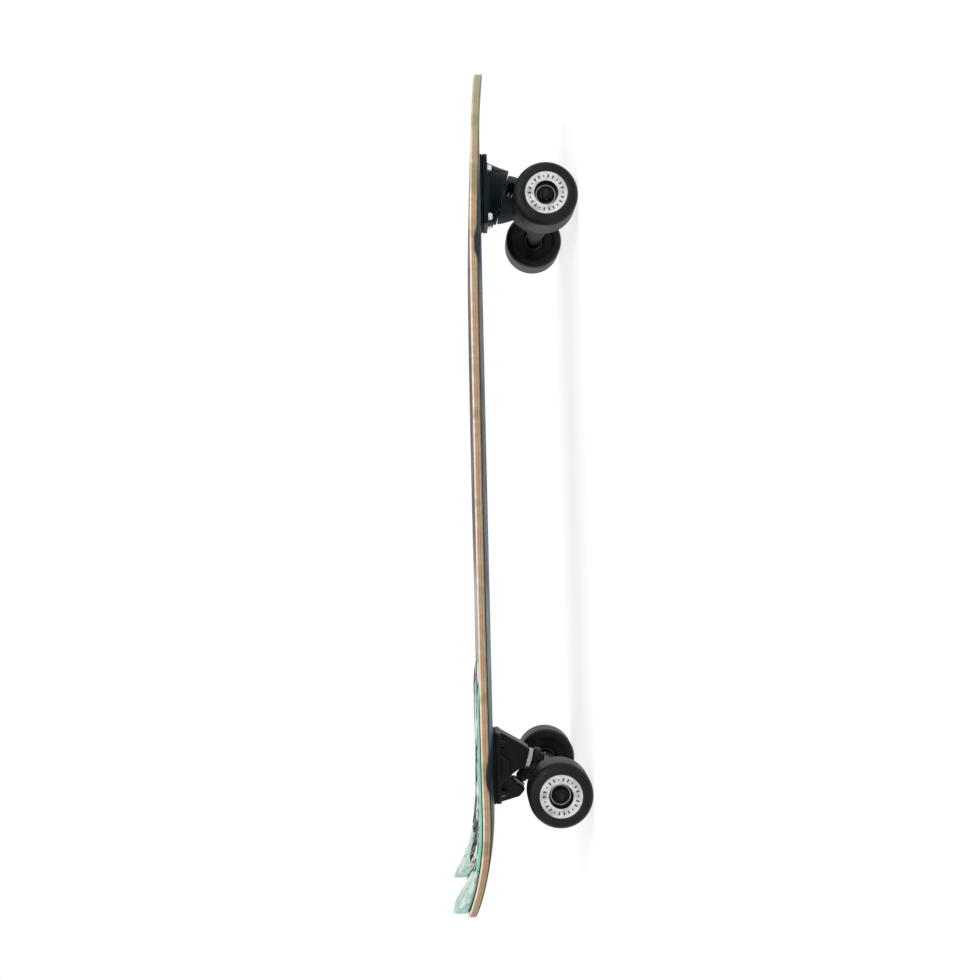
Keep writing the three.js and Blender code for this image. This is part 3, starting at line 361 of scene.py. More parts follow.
def resampled(loop: Loop, step: float) -> Loop:
    """Space the points of an outline evenly, and keep its corners.

    Args:
        loop: The outline.
        step: The distance between points.

    Returns:
        The outline with points about a step apart.
    """
    out: Loop = []
    for here, there in zip(loop, loop[1:] + loop[:1]):
        span = (there - here).length
        if span < step * 0.2 and out and (out[-1] - here).length < step * 0.4:
            continue
        count = max(1, round(span / step))
        out += [here.lerp(there, i / count) for i in range(count)]
    return out


def crossings(loop: Loop, x: float) -> list[float]:
    """Where an outline crosses the line across a place along it, lowest first."""
    pairs = zip(loop, loop[1:] + loop[:1])
    return sorted(a.y + (b.y - a.y) * (x - a.x) / (b.x - a.x) for a, b in pairs if (a.x <= x) != (b.x <= x))


def half_width_at(loop: Loop, x: float) -> float:
    """Half the width of an outline at a place along it."""
    return max(crossings(loop, x), default=0.0)


def inside_points(loop: Loop, us: Sequence[float], vs: Sequence[float], margin: float, angle: float = 0.0) -> Loop:
    """The crossings of two sets of lines that lie well inside an outline.

    Args:
        loop: The outline.
        us: The places of the first set of lines.
        vs: The places of the second set of lines.
        margin: How far a point stays from the outline.
        angle: How far the lines are turned about Z.

    Returns:
        The crossings.
    """
    back, forth = Matrix.Rotation(-angle, 3, "Z"), Matrix.Rotation(angle, 3, "Z")
    flat = [back @ point for point in loop]
    out: Loop = []
    for u in us:
        cuts = [crossings(flat, u + side) for side in (-margin, 0.0, margin)]
        out += [forth @ Vector((u, v, 0)) for v in vs
                if all(any(a + margin < v < b - margin for a, b in zip(c[::2], c[1::2])) for c in cuts)]
    return out


def eased(share: float) -> float:
    """Run smoothly from 0 to 1, and stay there beyond either end."""
    t = min(max(share, 0.0), 1.0)
    return t * t * (3 - 2 * t)


def lines(low: float, high: float, step: float) -> list[float]:
    """Evenly spaced places from low to high, about a step apart."""
    count = max(1, round((high - low) / step))
    return [low + (high - low) * i / count for i in range(count + 1)]


@dataclass(frozen=True)
class Hole:
    """A round hole in a panel; one with a foot radius is sunk and closed, one without goes through."""

    x: float
    y: float
    radius: float
    foot_radius: float = 0.0
    depth: float = 0.0

    def loop(self, radius: float) -> Loop:
        """The points of a circle about its middle."""
        return ellipse(Vector((self.x, self.y, 0)), Vector((radius, 0, 0)), Vector((0, radius, 0)), 28)

    def away(self, point: Vector) -> float:
        """How far a point is from its middle."""
        return math.hypot(point.x - self.x, point.y - self.y)


@dataclass
class Panel:
    """A thin piece between two height functions, with round edges, as a deck or a pad is."""

    loop: Loop
    top: Height
    foot: Height
    base: Height
    thickness: Height
    edge: float
    grid: Loop
    under_grid: Loop
    holes: tuple[Hole, ...] = ()
    wall_rows: int = 3
    edge_steps: int = 4

    def _cap(self, shape: Shape, grid: Loop, height: Height, holes: Sequence[Hole], tint: int) -> list[list[int]]:
        """Fill one face of the panel.

        Args:
            shape: The shape that takes the face.
            grid: Points inside it.
            height: The height over each point.
            holes: The holes in it.
            tint: The finish of its faces.

        Returns:
            The places in the shape of the outline's points, then those of each hole's rim.
        """
        points: Loop = []
        edges: list[tuple[int, int]] = []
        starts = []
        loops = [drawn_in(self.loop, self.edge)] + [hole.loop(hole.radius) for hole in holes]
        for loop in loops:
            starts.append(len(points))
            edges += [(len(points) + i, len(points) + (i + 1) % len(loop)) for i in range(len(loop))]
            points += loop
        points += [p for p in grid if all(hole.away(p) > hole.radius + 0.8 for hole in holes)]
        flat, _, triangles, sources, _, _ = delaunay_2d_cdt([p.to_2d() for p in points], edges, [], 1, 1e-5)
        places = shape.take([Vector((p.x, p.y, height(p.x, p.y))) for p in flat])
        place = {source: places[i] for i, found in enumerate(sources) for source in found}
        for face in triangles:
            middle = sum((flat[i] for i in face), Vector((0, 0))) / len(face)
            if all(hole.away(middle) >= hole.radius * 0.99 for hole in holes):
                shape.faces.append(tuple(places[i] for i in face))
                shape.tints.append(tint)
        return [[place[start + i] for i in range(len(loop))] for start, loop in zip(starts, loops)]

    def build(self) -> Shape:
        """Build the panel, with finish 0 on its top, 1 on its edge and 2 under it.

        Returns:
            The closed skin, with each point's share of the thickness.
        """
        shape = Shape([], [], [], [])
        ring, *rims = self._cap(shape, self.grid, self.top, self.holes, 0)
        bends = [i / self.edge_steps * SQUARE for i in range(self.edge_steps + 1)]
        levels = [(self.edge * (1 - math.sin(bend)), 1.0, -self.edge * (1 - math.cos(bend))) for bend in bends[1:]]
        levels += [(0.0, 1 - i / self.wall_rows, 0.0) for i in range(1, self.wall_rows)]
        levels += [(self.edge * (1 - math.cos(bend)), 0.0, self.edge * (1 - math.sin(bend))) for bend in bends[:-1]]
        for inset, share, lift in levels:
            fresh = []
            for p in drawn_in(self.loop, inset):
                low, high = self.foot(p.x, p.y), self.top(p.x, p.y)
                straight = low + self.edge + (high - low - 2 * self.edge) * share
                fresh.append(Vector((p.x, p.y, {1.0: high + lift, 0.0: low + lift}.get(share, straight))))
            places = shape.take(fresh)
            shape.strip(ring, places, 1)
            ring = places
        through = [hole for hole in self.holes if not hole.foot_radius]
        under, *under_rims = self._cap(shape, self.under_grid, self.foot, through, 2)
        shape.strip(ring, under, 1)
        lower = iter(under_rims)
        for hole, rim in zip(self.holes, rims):
            if not hole.foot_radius:
                shape.strip(rim, next(lower), 1)
                continue
            sunk = [Vector((p.x, p.y, self.top(p.x, p.y) - hole.depth)) for p in hole.loop(hole.foot_radius)]
            floor = shape.take(sunk)
            shape.strip(rim, floor, 1)
            shape.faces.append(tuple(floor))
            shape.tints.append(1)
        shape.shares = [(p.z - self.base(p.x, p.y)) / self.thickness(p.x, p.y) for p in shape.points]
        return shape


def hex_nut(flat: float, bore: float, low: float, high: float, collar: float = 0.0) -> Shape:
    """A hexagonal nut about +Z with chamfered corners, and a collar where it locks.

    Args:
        flat: Half the distance across its flats.
        bore: The radius of its bore.
        low: The height of its seat.
        high: The height of the top of its hexagon.
        collar: How far a round collar stands above the hexagon.

    Returns:
        The nut.
    """
    sides, sector = 72, math.pi / 3
    slope, chamfer = 0.58, flat * 0.97

    def level(radius: float | None, height: float, sign: int = 1) -> Loop:
        """One ring of the nut.

        Args:
            radius: Its radius, or None for the hexagon's own edge with its chamfer.
            height: Its height.
            sign: Which way the chamfer falls.

        Returns:
            The ring.
        """
        loop = []
        for i in range(sides):
            angle = TURN * i / sides
            edge = flat / math.cos((angle % sector) - sector / 2)
            r = edge if radius is None else min(radius, edge)
            z = height - sign * max(0.0, edge - chamfer) * slope if radius is None else height
            loop.append(Vector((r * math.cos(angle), r * math.sin(angle), z)))
        return loop

    rings = [level(bore, low + 0.4), level(bore + 0.4, low), level(chamfer, low), level(None, low, -1),
             level(None, high), level(chamfer, high)]
    if collar:
        rings += [level(flat * 0.88, high), level(flat * 0.86, high + collar * 0.6),
                  level(flat * 0.74, high + collar), level(bore + 0.3, high + collar)]
    else:
        rings.append(level(bore + 0.4, high))
    return lofted(rings + [level(bore, high - 0.4)], closed=True)


def threaded(radius: float, low: float, high: float, pitch: float) -> list[tuple[float, float]]:
    """The profile of a threaded length.

    Args:
        radius: Its radius over the crests.
        low: Where it starts.
        high: Where it ends.
        pitch: The distance between crests.

    Returns:
        Pairs of radius and height, from low to high.
    """
    depth = 0.55 * pitch
    count = max(1, int((high - low) / pitch))
    step = (high - low) / count
    out = []
    for i in range(count):
        z = low + i * step
        out += [(radius, z), (radius, z + 0.15 * step), (radius - depth, z + 0.5 * step), (radius, z + 0.9 * step)]
    return out + [(radius - depth, high)]


# Meshes become pieces


def new_mesh(name: str, shape: Shape) -> bpy.types.Mesh:
    """Make a mesh in metres from a shape in millimetres.

    Args:
        name: Its name.
        shape: The shape.

    Returns:
        The mesh, with its faces turned outward.
    """
    mesh = bpy.data.meshes.new(name)
    mesh.from_pydata([tuple(point * MM) for point in shape.points], [], shape.faces)
    if shape.tints:
        mesh.polygons.foreach_set("material_index", shape.tints)
    if shape.shares:
        mesh.attributes.new("share", "FLOAT", "POINT").data.foreach_set("value", shape.shares)
    held = bmesh.new()
    held.from_mesh(mesh)
    bmesh.ops.recalc_face_normals(held, faces=held.faces)
    held.to_mesh(mesh)
    held.free()
    mesh.polygons.foreach_set("use_smooth", [True] * len(mesh.polygons))
    mesh.update()
    return mesh


def linked(name: str, data: bpy.types.ID) -> bpy.types.Object:
    """Put a new object with some data in the scene.

    Args:
        name: Its name.
        data: Its mesh, lamp or camera.

    Returns:
        The object.
    """
    thing = bpy.data.objects.new(name, data)
    bpy.context.scene.collection.objects.link(thing)
    return thing


def modify(thing: bpy.types.Object, kind: str, **settings: object) -> None:
    """Give an object a modifier.

    Args:
        thing: The object.
        kind: The modifier's kind.
        settings: Its properties.
    """
    modifier = thing.modifiers.new(kind.lower(), kind)
    for key, value in settings.items():
        setattr(modifier, key, value)


def cast(name: str, solids: Sequence[Shape], cuts: Sequence[Shape], grain: float) -> bpy.types.Mesh:
    """Cast overlapping shapes as one piece with soft inner and outer corners.

    Args:
        name: The name of its mesh.
        solids: The closed shapes that make it up.
        cuts: The shapes that are taken out.
        grain: The size of its faces in millimetres.

    Returns:
        Its mesh.
    """
    body = linked(name + "_blank", new_mesh(name + "_blank", joined(solids)))
    tool = linked(name + "_tool", new_mesh(name + "_tool", joined(cuts)))
    modify(body, "REMESH", mode="VOXEL", voxel_size=grain * MM)
    modify(body, "BOOLEAN", object=tool, operation="DIFFERENCE", solver="EXACT", use_self=True)
    modify(body, "REMESH", mode="VOXEL", voxel_size=grain * MM)
    modify(body, "SMOOTH", factor=0.5, iterations=SOFTENING)
    bpy.context.view_layer.update()
    depsgraph = bpy.context.evaluated_depsgraph_get()
    mesh = bpy.data.meshes.new_from_object(body.evaluated_get(depsgraph), depsgraph=depsgraph)
    mesh.name = name
    mesh.materials.clear()
    mesh.polygons.foreach_set("use_smooth", [True] * len(mesh.polygons))
    for used in (body, tool):
        bpy.data.objects.remove(used, do_unlink=True)
    LOG.info("%s is cast with %d faces", name, len(mesh.polygons))
    return mesh


@dataclass
class Assembly:
    """What every sub-assembly shares: the finishes, and how a piece is put in place."""

    paints: dict[str, bpy.types.Material]

    def stand(self, name: str, skin: Shape | bpy.types.Mesh, finishes: str | Sequence[str], slot: str,
              node: str = "", place: Matrix = Matrix(), sharp: float = 40.0, body: str = "board",
              bend: tuple[str, Vector, Vector] | None = None) -> bpy.types.Object:
        """Put a piece in the scene in place of the node that it stands for.

        Args:
            name: Its name.
            skin: Its shape or its mesh.
            finishes: The name of its finish, or several by the index on its faces.
            slot: The slot of the record that its finish comes from; it is not used.
            node: The node that it replaces, if it isn't a detail.
            place: Where its own origin goes, in millimetres; the skin is about that origin.
            sharp: The least angle in degrees of an edge that stays sharp.
            body: The body that it rides on.
            bend: For a soft piece, the other body that it follows, and where the change starts and ends, in metres;
                only whether it is given is read, and then the piece is left unattached with its move baked into its
                mesh.

        Returns:
            The piece.
        """
        mesh = new_mesh(name, skin) if isinstance(skin, Shape) else skin
        piece = linked(name, mesh)
        for finish in [finishes] if isinstance(finishes, str) else finishes:
            mesh.materials.append(self.paints[finish])
        move = place.copy()
        move.translation = place.translation * MM
        piece.matrix_world = move
        mesh.set_sharp_from_angle(angle=math.radians(sharp))
        bpy.context.view_layer.update()
        if bend:
            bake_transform(piece)
        else:
            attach(piece, body)
        if node:
            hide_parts(node)
        LOG.info("%s stands for %s on %s", name, node or "a detail", body)
        return piece


# Colours, shader nodes and effects


def paint(code: str, factor: float = 1.0) -> tuple[float, float, float, float]:
    """Turn a colour as it is seen into the light that a shader works with.

    Args:
        code: Six hexadecimal digits.
        factor: How much lighter or darker it gets.

    Returns:
        Red, green, blue and 1.
    """
    out = []
    for i in (0, 2, 4):
        seen = int(code[i:i + 2], 16) / 255
        light = seen / 12.92 if seen <= 0.04045 else ((seen + 0.055) / 1.055) ** 2.4
        out.append(min(1.0, factor * light))
    return (out[0], out[1], out[2], 1.0)


class Graph:
    """A node tree that grows one node at a time. A colour is given by its code or as a socket."""

    def __init__(self, tree: bpy.types.NodeTree) -> None:
        """Take a tree."""
        self.tree = tree

    def add(self, kind: str, inputs: dict[str | int, object] | None = None, **settings: object) -> bpy.types.Node:
        """Add a node.

        Args:
            kind: The kind of node, without its ShaderNode prefix.
            inputs: What goes into its sockets: a socket is linked, anything else is set.
            settings: Its properties.

        Returns:
            The node.
        """
        node = self.tree.nodes.new("ShaderNode" + kind)
        for name, value in settings.items():
            setattr(node, name, value)
        for key, value in (inputs or {}).items():
            if isinstance(value, Socket):
                self.tree.links.new(value, node.inputs[key])
            else:
                node.inputs[key].default_value = paint(value) if isinstance(value, str) else value
        return node

    def math(self, operation: str, a: object, b: object = 0.0, clamp: bool = False) -> Socket:
        """Work a number out from one or two others, and keep it from 0 to 1 if clamped."""
        return self.add("Math", {0: a, 1: b}, operation=operation, use_clamp=clamp).outputs[0]

    def times(self, a: object, b: object) -> Socket:
        """The product of two numbers."""
        return self.math("MULTIPLY", a, b)

    def apart(self, a: object, b: object) -> Socket:
        """How far two numbers are apart."""
        return self.math("ABSOLUTE", self.math("SUBTRACT", a, b))

    def mix(self, share: object, a: object, b: object, blend: str = "MIX") -> Socket:
        """Mix two colours by the share of the second."""
        return self.add("Mix", {0: share, 6: a, 7: b}, data_type="RGBA", blend_type=blend).outputs[2]

    def noise(self, vector: Socket, scale: object, detail: object, **others: float) -> Socket:
        """The value of a noise over a vector."""
        return self.add("TexNoise", {"Vector": vector, "Scale": scale, "Detail": detail, **others}).outputs[0]

    def drawn(self, vector: Socket, scale: tuple[float, float, float]) -> Socket:
        """A vector that is drawn out along its axes."""
        return self.add("Mapping", {"Vector": vector, "Scale": scale}).outputs[0]

    def ramp(self, value: Socket, stops: Stops, mode: str = "LINEAR") -> Socket:
        """Turn a number into a colour.

        Args:
            value: The number.
            stops: Pairs of place and colour.
            mode: How colours go over into each other.

        Returns:
            The colour's socket.
        """
        node = self.add("ValToRGB", {0: value})
        scale = node.color_ramp
        scale.interpolation = mode
        while len(scale.elements) < len(stops):
            scale.elements.new(1.0)
        for element, (place, code) in zip(scale.elements, stops):
            element.position = place
            element.color = paint(code)
        return node.outputs[0]

    def span(self, value: object, low: float, high: float, to_low: float = 0.0, to_high: float = 1.0) -> Socket:
        """Map one range of a number to another, smoothly and without going past it."""
        inputs = {0: value, 1: low, 2: high, 3: to_low, 4: to_high}
        return self.add("MapRange", inputs, interpolation_type="SMOOTHSTEP").outputs[0]


class Effect(Graph):
    """A shader node group that several finishes use, with a vector and named numbers going in."""

    def __init__(self, name: str, **takes: float) -> None:
        """Start the group.

        Args:
            name: Its name.
            takes: The numbers that go in, and what each is when it isn't set.
        """
        super().__init__(bpy.data.node_groups.new(name, "ShaderNodeTree"))
        self.tree.interface.new_socket("Vector", in_out="INPUT", socket_type="NodeSocketVector")
        for key, value in takes.items():
            self.tree.interface.new_socket(key, in_out="INPUT", socket_type="NodeSocketFloat").default_value = value
        self.given = self.tree.nodes.new("NodeGroupInput").outputs
        self.vector = self.given["Vector"]

    def give(self, **sockets: Socket) -> bpy.types.NodeTree:
        """Send numbers out of the group by their names.

        Args:
            sockets: The numbers.

        Returns:
            The whole group.
        """
        for key in sockets:
            self.tree.interface.new_socket(key, in_out="OUTPUT", socket_type="NodeSocketFloat")
        out = self.tree.nodes.new("NodeGroupOutput")
        for key, socket in sockets.items():
            self.tree.links.new(socket, out.inputs[key])
        return self.tree


class Effects:
    """The effects that the finishes share, each built once."""

    def __init__(self) -> None:
        """Build them all."""
        self.grain = self._grain()
        self.wear = self._wear()
        self.dust = self._dust()
        self.scuffs = self._scuffs()
        self.marble = self._marble()

    def _grain(self) -> bpy.types.NodeTree:
        """A fine uneven surface with a slow drift in its gloss.

        Returns:
            The effect.
        """
        group = Effect("fine_grain", Scale=900.0, Gloss=0.5, Spread=0.1)
        slow = group.noise(group.vector, 38.0, 4.0)
        drift = group.times(group.math("SUBTRACT", slow, 0.5), group.given["Spread"])
        rough = group.math("ADD", group.given["Gloss"], group.times(drift, 2.0), clamp=True)
        return group.give(Height=group.noise(group.vector, group.given["Scale"], 3.0), Roughness=rough)

    def _wear(self) -> bpy.types.NodeTree:
        """Where proud edges have lost their coat, broken up by noise.

        Returns:
            The effect.
        """
        group = Effect("edge_wear", Low=0.52, High=0.6, Break=90.0)
        proud = group.add("NewGeometry").outputs["Pointiness"]
        edge = group.add("MapRange", {0: proud, 1: group.given["Low"], 2: group.given["High"]}).outputs[0]
        broken = group.span(group.noise(group.vector, group.given["Break"], 5.0), 0.42, 0.68)
        return group.give(Mask=group.math("MULTIPLY", edge, broken, clamp=True))

    def _dust(self) -> bpy.types.NodeTree:
        """Thin dust on faces that look up.

        Returns:
            The effect.
        """
        group = Effect("dust_film", Amount=0.15)
        normal = group.add("SeparateXYZ", {0: group.add("NewGeometry").outputs["Normal"]})
        spread = group.span(group.noise(group.vector, 26.0, 6.0), 0.4, 0.75)
        lying = group.times(group.span(normal.outputs[2], 0.2, 1.0), spread)
        return group.give(Mask=group.math("MULTIPLY", lying, group.given["Amount"], clamp=True))

    def _scuffs(self) -> bpy.types.NodeTree:
        """Fine scratches that run across each other.

        Returns:
            The effect.
        """
        group = Effect("scuffs", Scale=30.0, Amount=0.5)
        found: Socket | float = 0.0
        for turn, stretch in ((0.4, 26.0), (1.9, 34.0)):
            laid = group.add("Mapping", {"Vector": group.vector, "Rotation": (0.3 * turn, 0.7, turn),
                                         "Scale": (1.0, stretch, 1.0)}).outputs[0]
            found = group.math("MAXIMUM", found, group.span(group.noise(laid, group.given["Scale"], 2.0), 0.7, 0.76))
        return group.give(Mask=group.math("MULTIPLY", found, group.given["Amount"], clamp=True))

    def _marble(self) -> bpy.types.NodeTree:
        """Veins that flow and fold, as in mixed foam or a poured print.

        Returns:
            The effect.
        """
        group = Effect("marbling", Scale=14.0, Warp=0.06, Detail=6.0)
        push = group.add("TexNoise", {"Vector": group.vector, "Scale": 11.0, "Detail": 3.0}).outputs["Color"]
        centred = group.add("VectorMath", {0: push, 1: (0.5, 0.5, 0.5)}, operation="SUBTRACT").outputs[0]
        scaled = group.add("VectorMath", {0: centred, "Scale": group.given["Warp"]}, operation="SCALE").outputs[0]
        moved = group.add("VectorMath", {0: group.vector, 1: scaled}, operation="ADD").outputs[0]
        flow = group.noise(moved, group.given["Scale"], group.given["Detail"], Roughness=0.55, Distortion=0.6)
        return group.give(Value=flow, Vein=group.span(group.apart(flow, 0.5), 0.0, 0.05, 1.0, 0.0))


class Canvas(Graph):
    """The graph of one material, with its shader and the effects that it may use."""

    def __init__(self, name: str, effects: Effects) -> None:
        """Start the material.

        Args:
            name: Its name.
            effects: The shared effects.
        """
        self.material = bpy.data.materials.new(name)
        self.material.use_nodes = True
        super().__init__(self.material.node_tree)
        self.effects = effects
        self.shader = self.tree.nodes["Principled BSDF"]
        self.place = self.add("TexCoord").outputs["Object"]

    @cached_property
    def axes(self) -> bpy.types.bpy_prop_collection:
        """The three numbers of a place in the piece's own frame, split once for a finish that needs them."""
        return self.add("SeparateXYZ", {0: self.place}).outputs

    def use(self, group: bpy.types.NodeTree, **values: object) -> bpy.types.bpy_prop_collection:
        """Place an effect over the piece's own frame, and give its outputs."""
        return self.add("Group", {"Vector": self.place, **values}, node_tree=group).outputs

    def set(self, **values: float | tuple[float, ...]) -> None:
        """Set plain values on the shader, with an underscore for each space in a name."""
        for name, value in values.items():
            self.shader.inputs[name.replace("_", " ")].default_value = value

    def feed(self, name: str, socket: Socket) -> None:
        """Let a value that changes over the surface reach the shader."""
        self.tree.links.new(socket, self.shader.inputs[name])

    def grained(self, scale: float, gloss: float, spread: float) -> Socket:
        """Give the surface its gloss by the fine grain.

        Args:
            scale: How fine the grain is.
            gloss: The roughness about which it drifts.
            spread: How far it drifts.

        Returns:
            The grain's height.
        """
        height, rough = self.use(self.effects.grain, Scale=scale, Gloss=gloss, Spread=spread)
        self.feed("Roughness", rough)
        return height

    def clouded(self, scale: float, detail: float, low: float, high: float, first: object, second: object) -> Socket:
        """Let one colour go over into another in clouds.

        Args:
            scale: How small the clouds are.
            detail: How ragged they are.
            low: The noise up to which all is the first colour.
            high: The noise from which all is the second.
            first: The first colour.
            second: The second.

        Returns:
            The colour.
        """
        return self.mix(self.span(self.noise(self.place, scale, detail), low, high), first, second)

    def scuffed(self, colour: object, scale: float, amount: float, share: float, scuff: str) -> Socket:
        """Scratch a colour.

        Args:
            colour: The colour.
            scale: How small the scratches are.
            amount: How strong they are.
            share: How much of their colour there is.
            scuff: Their colour.

        Returns:
            The scratched colour.
        """
        return self.mix(self.times(self.use(self.effects.scuffs, Scale=scale, Amount=amount)[0], share), colour, scuff)

    def dusted(self, colour: object, amount: float, dust: str) -> Socket:
        """Lay dust on a colour where the surface looks up."""
        return self.mix(self.use(self.effects.dust, Amount=amount)[0], colour, dust)

    def done(self, colour: Socket, height: Socket, strength: float, depth: float, specular: float = 0.5) -> None:
        """Finish the surface.

        Args:
            colour: Its colour.
            height: The height that shows in the light.
            strength: How much of it shows.
            depth: How deep it is in millimetres.
            specular: How much light it mirrors.
        """
        self.feed("Base Color", colour)
        bump = self.add("Bump", {"Strength": strength, "Distance": depth * MM, "Height": height})
        self.feed("Normal", bump.outputs[0])
        self.set(Specular_IOR_Level=specular)


@dataclass(frozen=True)
class Finish:
    """What every finish shares: its name, and how its material is made."""

    name: str

    def build(self, effects: Effects) -> bpy.types.Material:
        """Build the material.

        Args:
            effects: The shared effects.

        Returns:
            The material.
        """
        canvas = Canvas(self.name, effects)
        self.dress(canvas)
        return canvas.material


@dataclass(frozen=True)
class CoatFinish(Finish):
    """A powder coat on a casting: its colour, what shows where it is worn, and its gloss."""

    colour: str
    worn: str
    gloss: float
    wear_low: float = 0.54
    dust: float = 0.18

    def dress(self, canvas: Canvas) -> None:
        """Paint the material.

        Args:
            canvas: Its graph.
        """
        wear = canvas.use(canvas.effects.wear, Low=self.wear_low, High=self.wear_low + 0.06)[0]
        base = canvas.clouded(60.0, 4.0, 0.35, 0.7, self.colour, paint(self.colour, 1.5))
        scratched = canvas.scuffed(base, 34.0, 0.35, 0.5, self.worn)
        dusty = canvas.dusted(canvas.mix(canvas.times(wear, 0.45), scratched, self.worn), self.dust, "8b8880")
        canvas.done(dusty, canvas.grained(1500.0, self.gloss, 0.12), 0.35, 0.12, 0.2)


@dataclass(frozen=True)
class SteelFinish(Finish):
    """Bare, plated or blackened steel."""

    colour: str
    gloss: float
    metal: float = 1.0
    scuff: str = "c9cbce"

    def dress(self, canvas: Canvas) -> None:
        """Paint the material.

        Args:
            canvas: Its graph.
        """
        base = canvas.clouded(170.0, 5.0, 0.4, 0.7, self.colour, paint(self.colour, 0.72))
        scratched = canvas.scuffed(base, 120.0, 0.6, 0.4, self.scuff)
        canvas.done(scratched, canvas.grained(2600.0, self.gloss, 0.16), 0.2, 0.05, 0.25)
        canvas.set(Metallic=self.metal)


@dataclass(frozen=True)
class UrethaneFinish(Finish):
    """Cast urethane or moulded plastic."""

    colour: str
    shade: str
    gloss: float
    ridges: float = 0.0
    shine: float = 0.18
    worn: str = ""

    def dress(self, canvas: Canvas) -> None:
        """Paint the material.

        Args:
            canvas: Its graph.
        """
        base = canvas.clouded(45.0, 5.0, 0.3, 0.75, self.colour, self.shade)
        rubbed = canvas.scuffed(base, 50.0, 0.5, 0.25, self.shade)
        if self.worn:
            patch = canvas.noise(canvas.place, 30.0, 8.0, Roughness=0.7)
            rubbed = canvas.mix(canvas.span(patch, 0.57, 0.72, 0.0, 0.5), rubbed, self.worn)
        height = canvas.grained(1100.0, self.gloss, 0.14)
        if self.ridges:
            wave = canvas.math("SINE", canvas.times(canvas.axes["Y"], TURN / (self.ridges * MM)))
            height = canvas.math("ADD", canvas.times(wave, 0.5), canvas.times(height, 0.6))
        canvas.done(rubbed, height, 0.3, 0.06, self.shine)


@dataclass(frozen=True)
class RingFinish(Finish):
    """The pale ring printed on a wheel's face about its Y axis, with plain ticks and dots on it."""

    ticks: int = 22
    tick_radius: float = 17.6
    dot: float = 0.7
    tick: float = 1.0
    band_radius: float = 17.4
    band: tuple[float, float] = (4.7, 4.95)

    def dress(self, canvas: Canvas) -> None:
        """Paint the material.

        Args:
            canvas: Its graph.
        """
        squares = [canvas.math("POWER", part, 2.0) for part in (canvas.axes["X"], canvas.axes["Z"])]
        radius = canvas.math("SQRT", canvas.math("ADD", *squares))
        angle = canvas.math("ARCTAN2", canvas.axes["Z"], canvas.axes["X"])
        turn = canvas.times(canvas.math("ADD", angle, math.pi), self.ticks / TURN)
        within = canvas.math("LESS_THAN", canvas.apart(canvas.math("FRACT", turn), 0.5), 0.17)
        long = canvas.math("LESS_THAN", canvas.math("MODULO", canvas.math("FLOOR", turn), 3.0), 1.5)
        half = canvas.math("ADD", canvas.times(long, self.tick * MM), self.dot * MM)
        near = canvas.math("LESS_THAN", canvas.apart(radius, self.tick_radius * MM), half)
        off = canvas.apart(radius, self.band_radius * MM)
        band = canvas.span(off, self.band[0] * MM, self.band[1] * MM, 1.0, 0.0)
        white = canvas.clouded(90.0, 5.0, 0.35, 0.75, "e2e3e4", "9fa1a3")
        printed = canvas.mix(canvas.times(near, within), canvas.scuffed(white, 90.0, 0.7, 0.4, "77797b"), "2a2b2c")
        canvas.done(canvas.mix(band, "1d1d1e", printed), canvas.grained(1400.0, 0.42, 0.1), 0.2, 0.04)


@dataclass(frozen=True)
class PlyFinish(Finish):
    """The cut edge of pressed ply layers under lacquer, with painted shade along its lower rounded edge; the colours
    follow each point's share of the thickness.
    """

    # The first, near-black stop is painted shade on the lower rounded edge; the other stops are the colours of the
    # plies.
    ply_and_foot_shade_stops: Stops = ((0.0, "15120f"), (0.11, "9b8d72"), (0.24, "c3b091"), (0.37, "a38b73"), (0.5, "c6b39c"),
                    (0.62, "af977e"), (0.73, "c8b496"), (0.79, "fff2dc"))
    tones: Stops = ((0.3, "c9b79a"), (0.42, "fff6ea"), (0.5, "f6d8cc"), (0.56, "fffaf0"), (0.66, "c4bc9a"),
                    (0.75, "e8cfa6"))

    def dress(self, canvas: Canvas) -> None:
        """Paint the material.

        Args:
            canvas: Its graph.
        """
        share = canvas.add("Attribute", {}, attribute_name="share").outputs["Fac"]
        wander = canvas.math("SUBTRACT", canvas.noise(canvas.place, 24.0, 2.0), 0.5)
        moved = canvas.math("ADD", share, canvas.times(wander, 0.05))
        # The lowest band of this ramp is painted shade along the foot of the edge.
        layers = canvas.ramp(moved, self.ply_and_foot_shade_stops, "CONSTANT")
        glue = canvas.span(canvas.apart(canvas.math("FRACT", canvas.times(moved, 7.2)), 0.5), 0.44, 0.49)
        fibre = canvas.noise(canvas.drawn(canvas.place, (0.06, 0.06, 1.0)), 1700.0, 4.0)
        wood = canvas.mix(canvas.times(canvas.span(fibre, 0.4, 0.7), 0.18), layers, "6b533d")
        glued = canvas.mix(canvas.times(glue, 0.3), wood, "5a4532")
        patch = canvas.noise(canvas.drawn(canvas.place, (1.0, 0.2, 0.6)), 26.0, 3.0)
        toned = canvas.mix(0.75, glued, canvas.ramp(patch, self.tones), "MULTIPLY")
        stained = canvas.mix(canvas.times(canvas.span(canvas.axes["X"], 0.27, 0.44), 0.6), toned, "9da27c")
        canvas.grained(700.0, 0.4, 0.12)
        height = canvas.math("ADD", canvas.times(fibre, 0.7), canvas.times(glue, -0.5))
        canvas.done(stained, height, 0.4, 0.12, 0.25)


